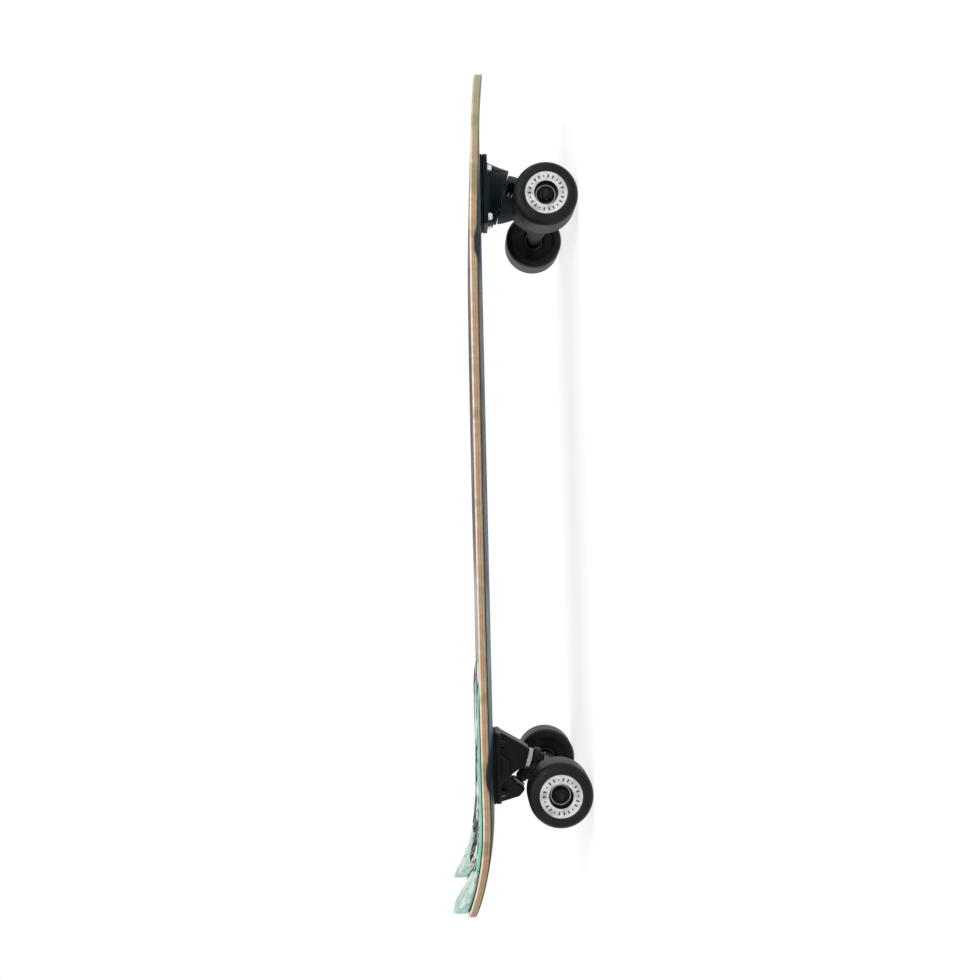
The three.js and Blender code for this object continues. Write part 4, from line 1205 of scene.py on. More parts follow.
@dataclass(frozen=True)
class PrintFinish(Finish):
    """A poured print of flowing bands on a face of the deck; the bands also drift along the board."""

    stops: Stops
    scale: float
    gloss: float
    vein: str
    specks: float = 0.0

    def dress(self, canvas: Canvas) -> None:
        """Paint the material.

        Args:
            canvas: Its graph.
        """
        long = canvas.drawn(canvas.place, (0.55, 1.0, 1.0))
        flow, vein = canvas.use(canvas.effects.marble, Vector=long, Scale=self.scale, Warp=0.12, Detail=3.0)
        drift = canvas.times(canvas.math("SINE", canvas.times(canvas.axes["X"], -11.0)), 0.14)
        bands = canvas.ramp(canvas.span(canvas.math("ADD", flow, drift), 0.25, 0.78), self.stops)
        colour = canvas.mix(canvas.times(vein, 0.25), bands, self.vein)
        if self.specks:
            dots = canvas.add("TexVoronoi", {"Vector": canvas.place, "Scale": 420.0}).outputs[0]
            colour = canvas.mix(canvas.times(canvas.math("LESS_THAN", dots, 0.2), self.specks), colour, "e9ecea")
        scratched = canvas.scuffed(colour, 16.0, 0.5, 0.3, "b9b5ab")
        canvas.done(scratched, canvas.grained(800.0, self.gloss, 0.12), 0.25, 0.08, 0.04)


@dataclass(frozen=True)
class FoamFinish(Finish):
    """Closed-cell foam: a thin dark foot, which is painted shadow where it meets the deck, a plain body in one colour
    and a marbled top.
    """

    body: str
    # The colour of the thin dark foot: painted shadow in the gap where the foam meets the deck.
    line: str
    marks: Stops
    body_top: float
    foot_shade_top: float = 0.2
    scale: float = 34.0
    tail: Stops = ()
    tail_tip: str = "a5dfe2"

    def dress(self, canvas: Canvas) -> None:
        """Paint the material, whose layers follow each point's share of the thickness.

        Args:
            canvas: Its graph.
        """
        share = canvas.add("Attribute", {}, attribute_name="share").outputs["Fac"]
        long = canvas.drawn(canvas.place, (0.6, 1.0, 1.0))
        flow = canvas.use(canvas.effects.marble, Vector=long, Scale=self.scale, Warp=0.07)[0]
        top = canvas.ramp(flow, self.marks)
        if self.tail:
            top = self._tailed(canvas, flow, top)
        body = canvas.clouded(60.0, 4.0, 0.3, 0.75, self.body, paint(self.body, 1.25))
        # The lowest share of the foam's height takes the dark foot colour, painted shadow where the foam meets the
        # deck.
        foot_shaded = canvas.mix(canvas.span(share, self.foot_shade_top - 0.03, self.foot_shade_top + 0.03), self.line, body)
        colour = canvas.mix(canvas.span(share, self.body_top - 0.03, self.body_top + 0.03), foot_shaded, top)
        cells = canvas.add("TexVoronoi", {"Vector": canvas.place, "Scale": 1500.0}).outputs[0]
        grain = canvas.grained(2200.0, 0.82, 0.08)
        height = canvas.math("ADD", canvas.times(cells, 0.8), canvas.times(grain, 0.5))
        canvas.done(canvas.dusted(colour, 0.12, "a09c92"), height, 0.5, 0.15, 0.08)

    def _tailed(self, canvas: Canvas, flow: Socket, marbled: Socket) -> Socket:
        """Let the marbling end on a curve, with pale foam and a tinted tip behind it.

        Args:
            canvas: The material's graph.
            flow: The marbling's value.
            marbled: The marbled colour.

        Returns:
            The colour of the top.
        """
        curve = canvas.span(canvas.math("ABSOLUTE", canvas.axes["Y"]), 0.012, 0.1, -0.436, -0.412)
        ragged = canvas.math("ADD", curve, canvas.times(canvas.math("SUBTRACT", flow, 0.5), 0.03))
        tip = canvas.span(canvas.axes["X"], -0.454, -0.468, 0.0, 0.75)
        tipped = canvas.mix(tip, canvas.ramp(flow, self.tail), self.tail_tip)
        return canvas.mix(canvas.math("LESS_THAN", canvas.axes["X"], ragged), marbled, tipped)


def all_paints() -> dict[str, bpy.types.Material]:
    """Build every finish of the board once.

    Returns:
        The materials by their names.
    """
    effects = Effects()
    under = ((0.0, "0f1a20"), (0.22, "23394b"), (0.4, "3f6a7c"), (0.52, "414d8c"), (0.62, "1f3147"),
             (0.78, "4f7685"), (1.0, "6f929c"))
    over = ((0.0, "15110f"), (0.2, "2e2826"), (0.38, "5a4f4d"), (0.5, "383a4b"), (0.62, "6e6570"),
            (0.8, "9c97a6"), (1.0, "cfcad8"))
    marks = ((0.3, "f3f3ef"), (0.4, "dcdedb"), (0.455, "9ea3a0"), (0.475, "121516"), (0.55, "121516"),
             (0.57, "b9c9c0"), (0.66, "f1f3ee"), (0.8, "dfe6e0"))
    lobes = ((0.3, "e6f0e8"), (0.44, "cfe2d6"), (0.5, "aec4b8"), (0.56, "d9e9df"), (0.68, "c6e3d8"), (0.8, "ebf3ee"))
    finishes = (
        CoatFinish("front_truck_coat", "131d25", "5d666c", 0.5),
        CoatFinish("rear_truck_coat", "17171b", "55565a", 0.46),
        # Near-black for the scoops under the rails.
        CoatFinish("dark_scoop", "191b1f", "4a4a4a", 0.5, dust=0.05),
        SteelFinish("ground_steel", "a6a8ab", 0.32),
        SteelFinish("bright_zinc", "f2f4f6", 0.3),
        # Dull grey steel for the kingpin washer and nut; on the inner bearings it is a darker copy of their steel,
        # painted shade.
        SteelFinish("dull_steel", "6f7072", 0.42),
        SteelFinish("blackened_steel", "232325", 0.38, 0.55, "6d6e70"),
        SteelFinish("spring_steel", "a2a3a6", 0.3),
        UrethaneFinish("wheel_urethane", "0e0e0f", "1d1d1e", 0.45, ridges=0.9, worn="636365"),
        UrethaneFinish("wheel_core", "0b0b0c", "161617", 0.4),
        # Black for the bearing shields, and painted shade for the bolt recesses.
        UrethaneFinish("bearing_shield", "0c0c0d", "171718", 0.45),
        UrethaneFinish("riser_rubber", "17181a", "232427", 0.7),
        UrethaneFinish("dark_bushing", "19191a", "262627", 0.42),
        UrethaneFinish("pale_bushing", "ffffff", "f6f6f8", 0.35, shine=0.4),
        UrethaneFinish("pivot_cup", "cfcabb", "aeaa9c", 0.5, shine=0.3),
        RingFinish("wheel_ring"),
        PlyFinish("ply_edge"),
        PrintFinish("belly_print", under, 5.0, 0.4, "7b9aa6"),
        PrintFinish("deck_print", over, 6.0, 0.5, "b7b3bd", specks=0.4),
        FoamFinish("pad_foam", "93d3c3", "1f3b30", marks, 0.84),
        FoamFinish("kick_foam", "9adfd0", "1f3b30", marks, 0.3, 0.09, tail=lobes))
    return {finish.name: finish.build(effects) for finish in finishes}


# The board


@dataclass(frozen=True)
class BoardShape:
    """The outline and the pressed form that the deck, the pad and its kick share."""

    half_length: float = 470.0
    half_width: float = 120.0
    thickness: float = 9.1
    flat_half_width: float = 34.0
    rail_rise: float = 6.5
    rail_power: float = 1.6
    flat_nose: float = 220.0
    nose_bend: float = 102.0
    nose_radius: float = 860.0
    kick_length: float = 113.0
    kick_radius: float = 290.0
    belly: float = 100.7091
    steps: int = 10
    shares: tuple[tuple[float, float], ...] = (
        (1, 0), (0.983, 0.2), (0.962, 0.36), (0.925, 0.53), (0.84, 0.71), (0.67, 0.87), (0.4, 0.975),
        (0.1, 1), (-0.3, 0.992), (-0.66, 0.95), (-0.84, 0.87), (-0.935, 0.76), (-0.982, 0.635),
        (-1, 0.53), (-0.988, 0.43), (-0.95, 0.2), (-0.93, 0))

    def rise(self, x: float, y: float) -> float:
        """How high the plain underside lies over a point.

        Args:
            x: The place along the board.
            y: The place across it.

        Returns:
            The height in the frame of the part.
        """
        across = max((abs(y) - self.flat_half_width) / (self.half_width - self.flat_half_width), 0.0)
        fade = 1 - eased((x - self.half_length + self.flat_nose) / self.flat_nose)
        past = max(self.kick_length - self.half_length - x, 0.0)
        ahead = max(x - self.half_length + self.nose_bend, 0.0)
        ends = past * past / (2 * self.kick_radius) - ahead * ahead / (2 * self.nose_radius)
        return self.belly + self.rail_rise * across ** self.rail_power * fade + ends

    def outline(self) -> Loop:
        """The outline seen from above, on a smooth curve through the table.

        Returns:
            The outline, anticlockwise.
        """
        edge = [Vector((x * self.half_length, y * self.half_width, 0)) for x, y in self.shares]
        closed = edge + [Vector((p.x, -p.y, 0)) for p in reversed(edge[1:-1])]
        out: Loop = []
        for i in range(len(closed)):
            a, b, c, d = (closed[(i + k - 1) % len(closed)] for k in range(4))
            before, here, after = (math.sqrt((q - p).length) for p, q in ((a, b), (b, c), (c, d)))
            leave = ((b - a) / before - (c - a) / (before + here) + (c - b) / here) * here
            reach = ((c - b) / here - (d - b) / (here + after) + (d - c) / after) * here
            for k in range(self.steps):
                t = k / self.steps
                out.append(b * (2 * t ** 3 - 3 * t ** 2 + 1) + leave * (t ** 3 - 2 * t ** 2 + t)
                           + c * (3 * t ** 2 - 2 * t ** 3) + reach * (t ** 3 - t ** 2))
        return out


@dataclass
class Deck(Assembly):
    """The pressed deck: its two printed faces, its ply edge and the scoops under its rails."""

    shape: BoardShape
    edge: float = 1.5
    scoop_radius: float = 54.0
    scoop_reach: float = 46.0
    scoop_depth: float = 4.6
    scoop_places: tuple[float, ...] = (249.0, -311.0)
    scoop_core: float = 0.47
    head_radius: float = 4.7
    head_depth: float = 3.1
    bolt_radius: float = 2.75
    grid_step: float = 7.0

    def _near(self, x: float, y: float, place: float) -> float:
        """How far a point is from a scoop's middle, squared, where 1 is its rim."""
        return ((x - place) / self.scoop_radius) ** 2 + ((abs(y) - self.shape.half_width) / self.scoop_reach) ** 2

    def _scooped(self, x: float, y: float) -> float:
        """The height of the underside, scoops and all.

        Args:
            x: The place along the board.
            y: The place across it.

        Returns:
            The height in the frame of the part.
        """
        height = self.shape.rise(x, y)
        for place in self.scoop_places:
            near = self._near(x, y, place)
            if near < 1:
                centre = self.shape.rise(place, self.shape.half_width) + self.scoop_depth - self.scoop_radius
                height = max(height, centre + self.scoop_radius * math.sqrt(1 - near))
        return height

    def _scoop_grid(self) -> Loop:
        """Close points over the scoops, so that their rims are crisp.

        Returns:
            The points.
        """
        out: Loop = []
        for place in self.scoop_places:
            for side in Side:
                for ring in range(1, 14):
                    reach = 0.42 * ring / 12
                    for i in range(48):
                        angle = TURN * i / 48
                        x = place + self.scoop_radius * reach * math.cos(angle)
                        y = side.value * (self.shape.half_width + self.scoop_reach * reach * math.sin(angle))
                        out.append(Vector((x, y, 0)))
        return out

    def build(self) -> None:
        """Make the deck and put it in place."""
        shape = self.shape
        outline = shape.outline()
        inner = drawn_in(outline, self.edge)
        us = lines(-shape.half_length, shape.half_length, self.grid_step)
        grid = inside_points(inner, us, lines(-shape.half_width, shape.half_width, self.grid_step), 2.5)
        core = self.scoop_core ** 2
        under = [p for p in grid if all(self._near(p.x, p.y, place) >= core for place in self.scoop_places)]
        under += [p for p in self._scoop_grid() if abs(p.y) < half_width_at(inner, p.x) - 1.2]
        holes = tuple(Hole(x, y, self.head_radius + 0.5, self.bolt_radius, self.head_depth)
                      for place in PLATE_PLACES.values() for x, y in bolt_spots(place))
        skin = Panel(outline, lambda x, y: shape.rise(x, y) + shape.thickness, self._scooped, shape.rise,
                     lambda x, y: shape.thickness, self.edge, grid, under, holes, 6, 4).build()
        # Faces of the underside inside the scoops take the near-black scoop colour.
        for i, face in enumerate(skin.faces):
            middle = skin.middle(face)
            if skin.tints[i] == 2 and self._scooped(middle.x, middle.y) > shape.rise(middle.x, middle.y) + 0.05:
                skin.tints[i] = 3
        finishes = ("deck_print", "ply_edge", "belly_print", "dark_scoop")
        self.stand("pressed_deck", skin, finishes, "ply", "deck", sharp=46.0)


@dataclass
class TractionPad(Assembly):
    """The grooved foam pad on the tail half of the deck."""

    shape: BoardShape
    length: float = 258.0
    inset: float = 4.0
    corner: float = 44.0
    front_thickness: float = 3.4
    rear_thickness: float = 5.6
    kick_length: float = 58.0
    split: float = 0.8
    edge: float = 1.2
    block: float = 13.0
    groove: float = 2.2
    groove_depth: float = 1.3
    front_border: float = 9.0
    rear_border: float = 7.0
    side_border: float = 8.0
    bolt_hole: float = 7.0

    def __post_init__(self) -> None:
        """Work out where the pad starts and ends."""
        self.front = self.length - self.shape.half_length
        self.rear = self.kick_length - self.shape.half_length

    def thickness(self, x: float, _: float = 0.0) -> float:
        """How thick the pad is at a place along the board."""
        share = min(max((self.front - x) / (self.front - self.rear), 0.0), 1.0)
        return self.front_thickness + (self.rear_thickness - self.front_thickness) * share

    def foot(self, x: float, y: float) -> float:
        """The height of the pad's underside over a point."""
        return self.shape.rise(x, y) + self.shape.thickness + GAP

    def _groove(self, x: float, y: float, outline: Loop) -> float:
        """How deep the grooves are at a point.

        Args:
            x: The place along the board.
            y: The place across it.
            outline: The pad's outline, along which a plain border stays.

        Returns:
            The depth below the top.
        """
        if not self.rear + self.rear_border <= x <= self.front - self.front_border:
            return 0.0
        if abs(y) > half_width_at(outline, x) - self.side_border:
            return 0.0
        deep = 0.0
        for u in ((x + y) / math.sqrt(2), (x - y) / math.sqrt(2)):
            away = abs((u / self.block) % 1.0 - 0.5) * self.block
            deep = max(deep, min(max((self.groove / 2 - away) / (self.groove / 4), 0.0), 1.0))
        return deep * self.groove_depth

    def build(self) -> None:
        """Make the pad and put it in place."""
        front, rear, half = self.front, self.rear + self.split, self.shape.half_width
        loop = drawn_in(self.shape.outline(), self.inset)
        limit = rounded_plate(2 * self.length, 2 * (half - self.inset), self.corner, 14)
        limit = [p + Vector((front - self.length, 0, 0)) for p in limit]
        for here, there in zip(limit, limit[1:] + limit[:1]):
            ahead = there - here
            if ahead.length > MM:
                loop = clipped(loop, here, Vector((-ahead.y, ahead.x, 0)))
        loop = resampled(clipped(loop, Vector((rear, 0, 0)), Vector((1, 0, 0))), 3.5)
        inner = drawn_in(loop, self.edge)
        reach = int(2 * self.length / self.block)
        steps = [(k + 0.5) * self.block + part for k in range(-reach, reach) for part in (
            -self.groove / 2, -self.groove / 4, self.groove / 4, self.groove / 2, self.block / 2)]
        us = [u for u in steps if (rear - half) / math.sqrt(2) < u < (front + half) / math.sqrt(2)]
        grid = inside_points(inner, us, us, 1.6, math.pi / 4)
        under = inside_points(inner, lines(rear, front, 12), lines(-half, half, 12), 3.0)
        holes = tuple(Hole(x, y, self.bolt_hole) for x, y in bolt_spots(PLATE_PLACES[End.REAR]))
        skin = Panel(loop, lambda x, y: self.foot(x, y) + self.thickness(x) - self._groove(x, y, loop), self.foot,
                     self.foot, self.thickness, self.edge, grid, under, holes, 3, 3).build()
        piece = self.stand("foam_pad", skin, ("pad_foam",) * 3, "pad_foam", "traction_pad", sharp=34.0)


@dataclass
class TailKick(Assembly):
    """The raised foam kick with two lobes at the tail."""

    shape: BoardShape
    pad: TractionPad
    length: float = 58.0
    rise: float = 13.4
    crest: float = 52.0
    lobe_y: float = 51.0
    lobe_width: float = 25.0
    valley: float = 0.3
    edge: float = 3.2
    rib: float = 8.0
    rib_depth: float = 0.9

    def _thick(self, x: float, y: float) -> float:
        """How thick the kick is.

        Args:
            x: The place along the board.
            y: The place across it.

        Returns:
            Its thickness there.
        """
        past = self.length - self.shape.half_length - x
        fall = 1 - eased((past - self.crest) / (self.length - self.crest)) * self.valley
        away = (abs(y) - self.lobe_y) / self.lobe_width
        lobe = self.valley + (1 - self.valley) * math.exp(-away * away)
        return self.pad.rear_thickness + self.rise * eased(past / self.crest) * fall * lobe

    def _ribbed(self, x: float, y: float) -> float:
        """The height of the top with its cross ribs.

        Args:
            x: The place along the board.
            y: The place across it.

        Returns:
            The height in the frame of the part.
        """
        past = self.length - self.shape.half_length - x
        fade = min(max(min(past - 5, self.crest - past) / 6, 0.0), 1.0) * min(max((88 - abs(y)) / 8, 0.0), 1.0)
        wave = 0.5 + 0.5 * math.cos(TURN * past / self.rib)
        return self.pad.foot(x, y) + self._thick(x, y) - self.rib_depth * fade * wave ** 3

    def build(self) -> None:
        """Make the kick and put it in place."""
        tail, half = -self.shape.half_length, self.shape.half_width
        front = self.length + tail
        loop = drawn_in(self.shape.outline(), self.pad.inset)
        loop = resampled(clipped(loop, Vector((front, 0, 0)), Vector((-1, 0, 0))), 2.6)
        inner = drawn_in(loop, self.edge)
        grid = inside_points(inner, lines(tail, front, 1.6), lines(-half, half, 4.0), 1.4)
        under = inside_points(inner, lines(tail, front, 8), lines(-half, half, 8), 3.0)
        skin = Panel(loop, self._ribbed, self.pad.foot, self.pad.foot, self._thick, self.edge, grid, under, (), 4,
                     4).build()
        piece = self.stand("foam_kick", skin, ("kick_foam",) * 3, "pad_foam", "tail_kick", sharp=50.0)


# Fasteners and wheels


@dataclass
class MountHardware(Assembly):
    """The riser, the countersunk bolts and the nuts that hold one plate."""

    end: End
    place: Vector
    plate_length: float
    lead: float
    nut_paint: tuple[str, str]
    plate_width: float = 58.0
    corner: float = 9.0
    riser: float = 2.5
    deck: float = 9.1
    bolt_radius: float = 2.4
    head_radius: float = 4.7
    head_depth: float = 2.9
    plate_foot: float = -8.5
    nut_height: float = 5.0
    nut_flat: float = 3.98
    tail: float = 1.6

    def _bolt(self) -> Shape:
        """One countersunk bolt about +Z.

        Returns:
            The bolt.
        """
        radius, head, top = self.bolt_radius, self.head_radius, self.deck - GAP
        foot = self.plate_foot - GAP - self.nut_height - self.tail
        profile = [(0, foot), (radius - 0.5, foot)] + threaded(radius, foot + 0.5, foot + 12, 0.8)
        profile += [(radius, foot + 12.2), (radius, top - self.head_depth), (head, top - 0.35), (head - 0.1, top)]
        return turned(profile + [(0, top)], 28)

    def _recess_shade(self) -> Shape:
        """The blind cross that a driver fits, as a dark insert just proud of the head: painted shade in place of the
        recess's hollow.

        Returns:
            The insert.
        """
        top = self.deck - GAP
        arm, half = 2.5, 0.55
        corners = ((arm, -half), (arm, half), (half, half), (half, arm), (-half, arm), (-half, half),
                   (-arm, half), (-arm, -half), (-half, -half), (-half, -arm), (half, -arm), (half, -half))
        return slab([Vector((x, y, 0)) for x, y in corners], top - 1.2, top + 0.02)

    def build(self) -> None:
        """Make the pieces and put them in place."""
        name = self.end.value
        finish, slot = self.nut_paint
        outline = rounded_plate(self.plate_length, self.plate_width, self.corner)
        riser = slab(outline, -self.riser - GAP, -GAP, 0.5)
        riser = riser.placed(Matrix.Translation(self.place + Vector((self.lead, 0, 0))))
        self.stand(f"{name}_riser_pad", riser, "riser_rubber", "riser_rubber", f"{name}_riser")
        for at, (x, y) in enumerate(bolt_spots(), 1):
            spot = self.place + Vector((x, y, 0))
            move = Matrix.Translation(spot) @ spin(0.4 * at, "Z")
            self.stand(f"{name}_bolt_{at}", self._bolt(), "blackened_steel", "black_bolt", f"{name}_mount_bolt_{at}",
                       move)
            # Each head gets a near-black cross insert: painted shade of the driver recess.
            self.stand(f"{name}_bolt_recess_{at}", self._recess_shade(), "bearing_shield", "black_bolt", "", move)
            nut = hex_nut(self.nut_flat, self.bolt_radius + 0.05, 0.0, 3.7, 1.2)
            seat = Matrix.Translation(spot + Vector((0, 0, self.plate_foot - GAP))) @ spin(math.pi, "X")
            self.stand(f"{name}_lock_nut_{at}", nut, finish, slot, f"{name}_mount_nut_{at}", seat, 28.0)


@dataclass
class WheelCorner(Assembly):
    """One wheel with its bearings, locking nut and printed ring."""

    end: End
    side: Side
    axle: Vector
    radius: float = 34.0
    width: float = 45.0
    track: float = 240.0
    tread: float = 33.0
    lip_radius: float = 28.6
    lip_width: float = 4.0
    dish_radius: float = 22.4
    dish_depth: float = 1.3
    mouth_radius: float = 12.6
    mouth_depth: float = 1.7
    web_radius: float = 9.2
    web_width: float = 10.0
    bearing_radius: float = 11.0
    bearing_width: float = 7.0
    axle_radius: float = 3.95
    nut_flat: float = 6.24

    def _wheel(self) -> Shape:
        """The wheel about +Z, with finish 1 on the ring of its outer face and 2 inside its hub.

        Returns:
            The turned shape.
        """
        half = self.width / 2
        seat, web = self.bearing_radius + 0.1, self.web_width / 2
        rough = [(self.web_radius, web), (seat, web), (seat, web + 7.4),
                 (self.mouth_radius, half - self.mouth_depth - 0.5), (self.mouth_radius + 0.5, half - self.mouth_depth),
                 (self.dish_radius - 0.3, half - self.dish_depth), (self.lip_radius - self.lip_width, half - 0.15),
                 (self.lip_radius - 1.2, half), (self.lip_radius + 2.2, half - 1.1), (self.radius - 1.0, half - 3.9),
                 (self.radius, self.tread / 2 - 0.8), (self.radius, 0.0)]
        profile = softened(rough, 0.9)[:-1]
        shape = turned([(r, -z) for r, z in profile] + [(r, z) for r, z in reversed(profile)], 120)
        low, high = self.mouth_radius + 0.3, self.dish_radius - 0.1
        shape.tints = []
        for face in shape.faces:
            middle = shape.middle(face)
            r = math.hypot(middle.x, middle.y)
            outer = middle.z > half - 2.4
            shape.tints.append(1 if outer and low < r < high else 2 if r < low else 0)
        return shape

    def build(self) -> None:
        """Make the pieces and put them in place."""
        corner = f"{self.end.value}_{self.side.name.lower()}"
        body = f"{corner}_wheel"
        outward = spin(-self.side.value * SQUARE, "X")
        place = Matrix.Translation(self.axle + Vector((0, self.side.value * (self.track - self.width) / 2, 0)))
        self.stand(f"{corner}_tyre", self._wheel().placed(outward), ("wheel_urethane", "wheel_ring", "wheel_core"),
                   "wheel_urethane", f"{corner}_wheel", place, 50.0, body)
        half = self.bearing_width / 2
        reach = self.web_width / 2 + GAP + half
        # The inner bearings take the darker dull steel as painted shade; both bearings are the same steel.
        for label, offset, finish in (("inner", -reach, "dull_steel"), ("outer", reach, "ground_steel")):
            low, high = offset - half, offset + half
            rings = joined([washer(self.bearing_radius, 9.5, low, high, 0.5, 72),
                            washer(6.1, self.axle_radius + 0.1, low, high, 0.4, 48)])
            self.stand(f"{corner}_bearing_{label}_rings", rings.placed(outward), finish, "bright_steel",
                       f"{corner}_bearing_{label}", place, 60.0, body)
            shields = joined([washer(9.45, 6.2, low + 0.6, high - 0.6, 0.6, 72),
                              washer(8.6, 7.0, low + 0.35, high - 0.35, 0.3, 72)])
            self.stand(f"{corner}_bearing_{label}_shields", shields.placed(outward), "bearing_shield", "bright_steel",
                       "", place, 60.0, body)
        seat = self.web_width / 2 + GAP + self.bearing_width + 0.35
        nut = hex_nut(self.nut_flat, self.axle_radius + 0.1, seat, seat + 4.6, 1.9).placed(outward)
        self.stand(f"{corner}_lock_nut", nut, "blackened_steel", "black_steel", f"{corner}_axle_nut", place, 28.0,
                   f"{self.end.value}_hanger")


@dataclass
class Axle(Assembly):
    """A ground axle with threaded ends."""

    end: End
    axle: Vector
    radius: float = 3.95
    half_length: float = 117.8
    thread: float = 9.0

    def build(self) -> None:
        """Make the axle and put it in place."""
        tip, start = self.half_length, self.half_length - self.thread
        half = [(self.radius, start - 0.3)] + threaded(self.radius, start, tip - 0.5, 1.0) + [(self.radius - 0.9, tip)]
        profile = [(0.0, -tip)] + [(r, -z) for r, z in reversed(half)] + half + [(0.0, tip)]
        shape = turned(profile, 32).placed(spin(SQUARE, "X"))
        self.stand(f"{self.end.value}_axle_rod", shape, "blackened_steel", "black_steel", f"{self.end.value}_axle",
                   Matrix.Translation(self.axle), body=f"{self.end.value}_hanger")


# The trucks


@dataclass
class Truck(Assembly):
    """What both trucks share: a plate under the board, and a hanger with an axle through its beam."""

    place: Vector
    plate_width: float = 58.0
    corner: float = 9.0
    plate_top: float = -3.0
    plate_foot: float = -8.5
    shoulder: float = 84.9
    shoulder_share: float = 0.42
    beam_end: float = 7.6
    boss_radius: float = 8.0
    boss_width: float = 6.0

    def plate(self, length: float, lead: float) -> Shape:
        """The plate, by its length and how far its middle lies ahead of the bolts'."""
        outline = rounded_plate(length, self.plate_width, self.corner)
        return slab(outline, self.plate_foot, self.plate_top).placed(shift(lead, 0, 0))

    def bolt_room(self) -> list[Shape]:
        """The room that the plate's four nuts need under it."""
        return [rod(5.3, -60.0, self.plate_foot - 0.02).placed(shift(x, y, 0)) for x, y in bolt_spots()]

    def axle_bore(self, centre: Vector) -> Shape:
        """The bore for the axle through the middle of a beam."""
        return rod(4.2, -120, 120).placed(Matrix.Translation(centre) @ spin(SQUARE, "X"))

    def beam(self, centre: Vector, half_length: float, half_height: float) -> list[Shape]:
        """The beam of a hanger, oval at its middle and round at its shoulders, with a collar at each.

        Args:
            centre: Its middle.
            half_length: Half its size along X at the middle.
            half_height: Half its height at the middle.

        Returns:
            The beam and its two collars, which the inner bearings sit against.
        """
        rings = []
        for i in range(25):
            y = self.shoulder * (-1 + 2 * i / 24)
            t = max((abs(y) / self.shoulder - self.shoulder_share) / (1 - self.shoulder_share), 0.0)
            long = half_length + (self.beam_end - half_length) * t
            high = half_height + (self.beam_end - half_height) * t
            rings.append(ellipse(Vector((centre.x, y, centre.z)), Vector((0, 0, high)), Vector((long, 0, 0))))
        flat = Matrix.Translation(centre) @ spin(SQUARE, "X")
        start, end = self.shoulder - self.boss_width, self.shoulder
        return [lofted(rings)] + [rod(self.boss_radius, low, high, 48, 0.6).placed(flat)
                                  for low, high in ((start, end), (-end, -start))]


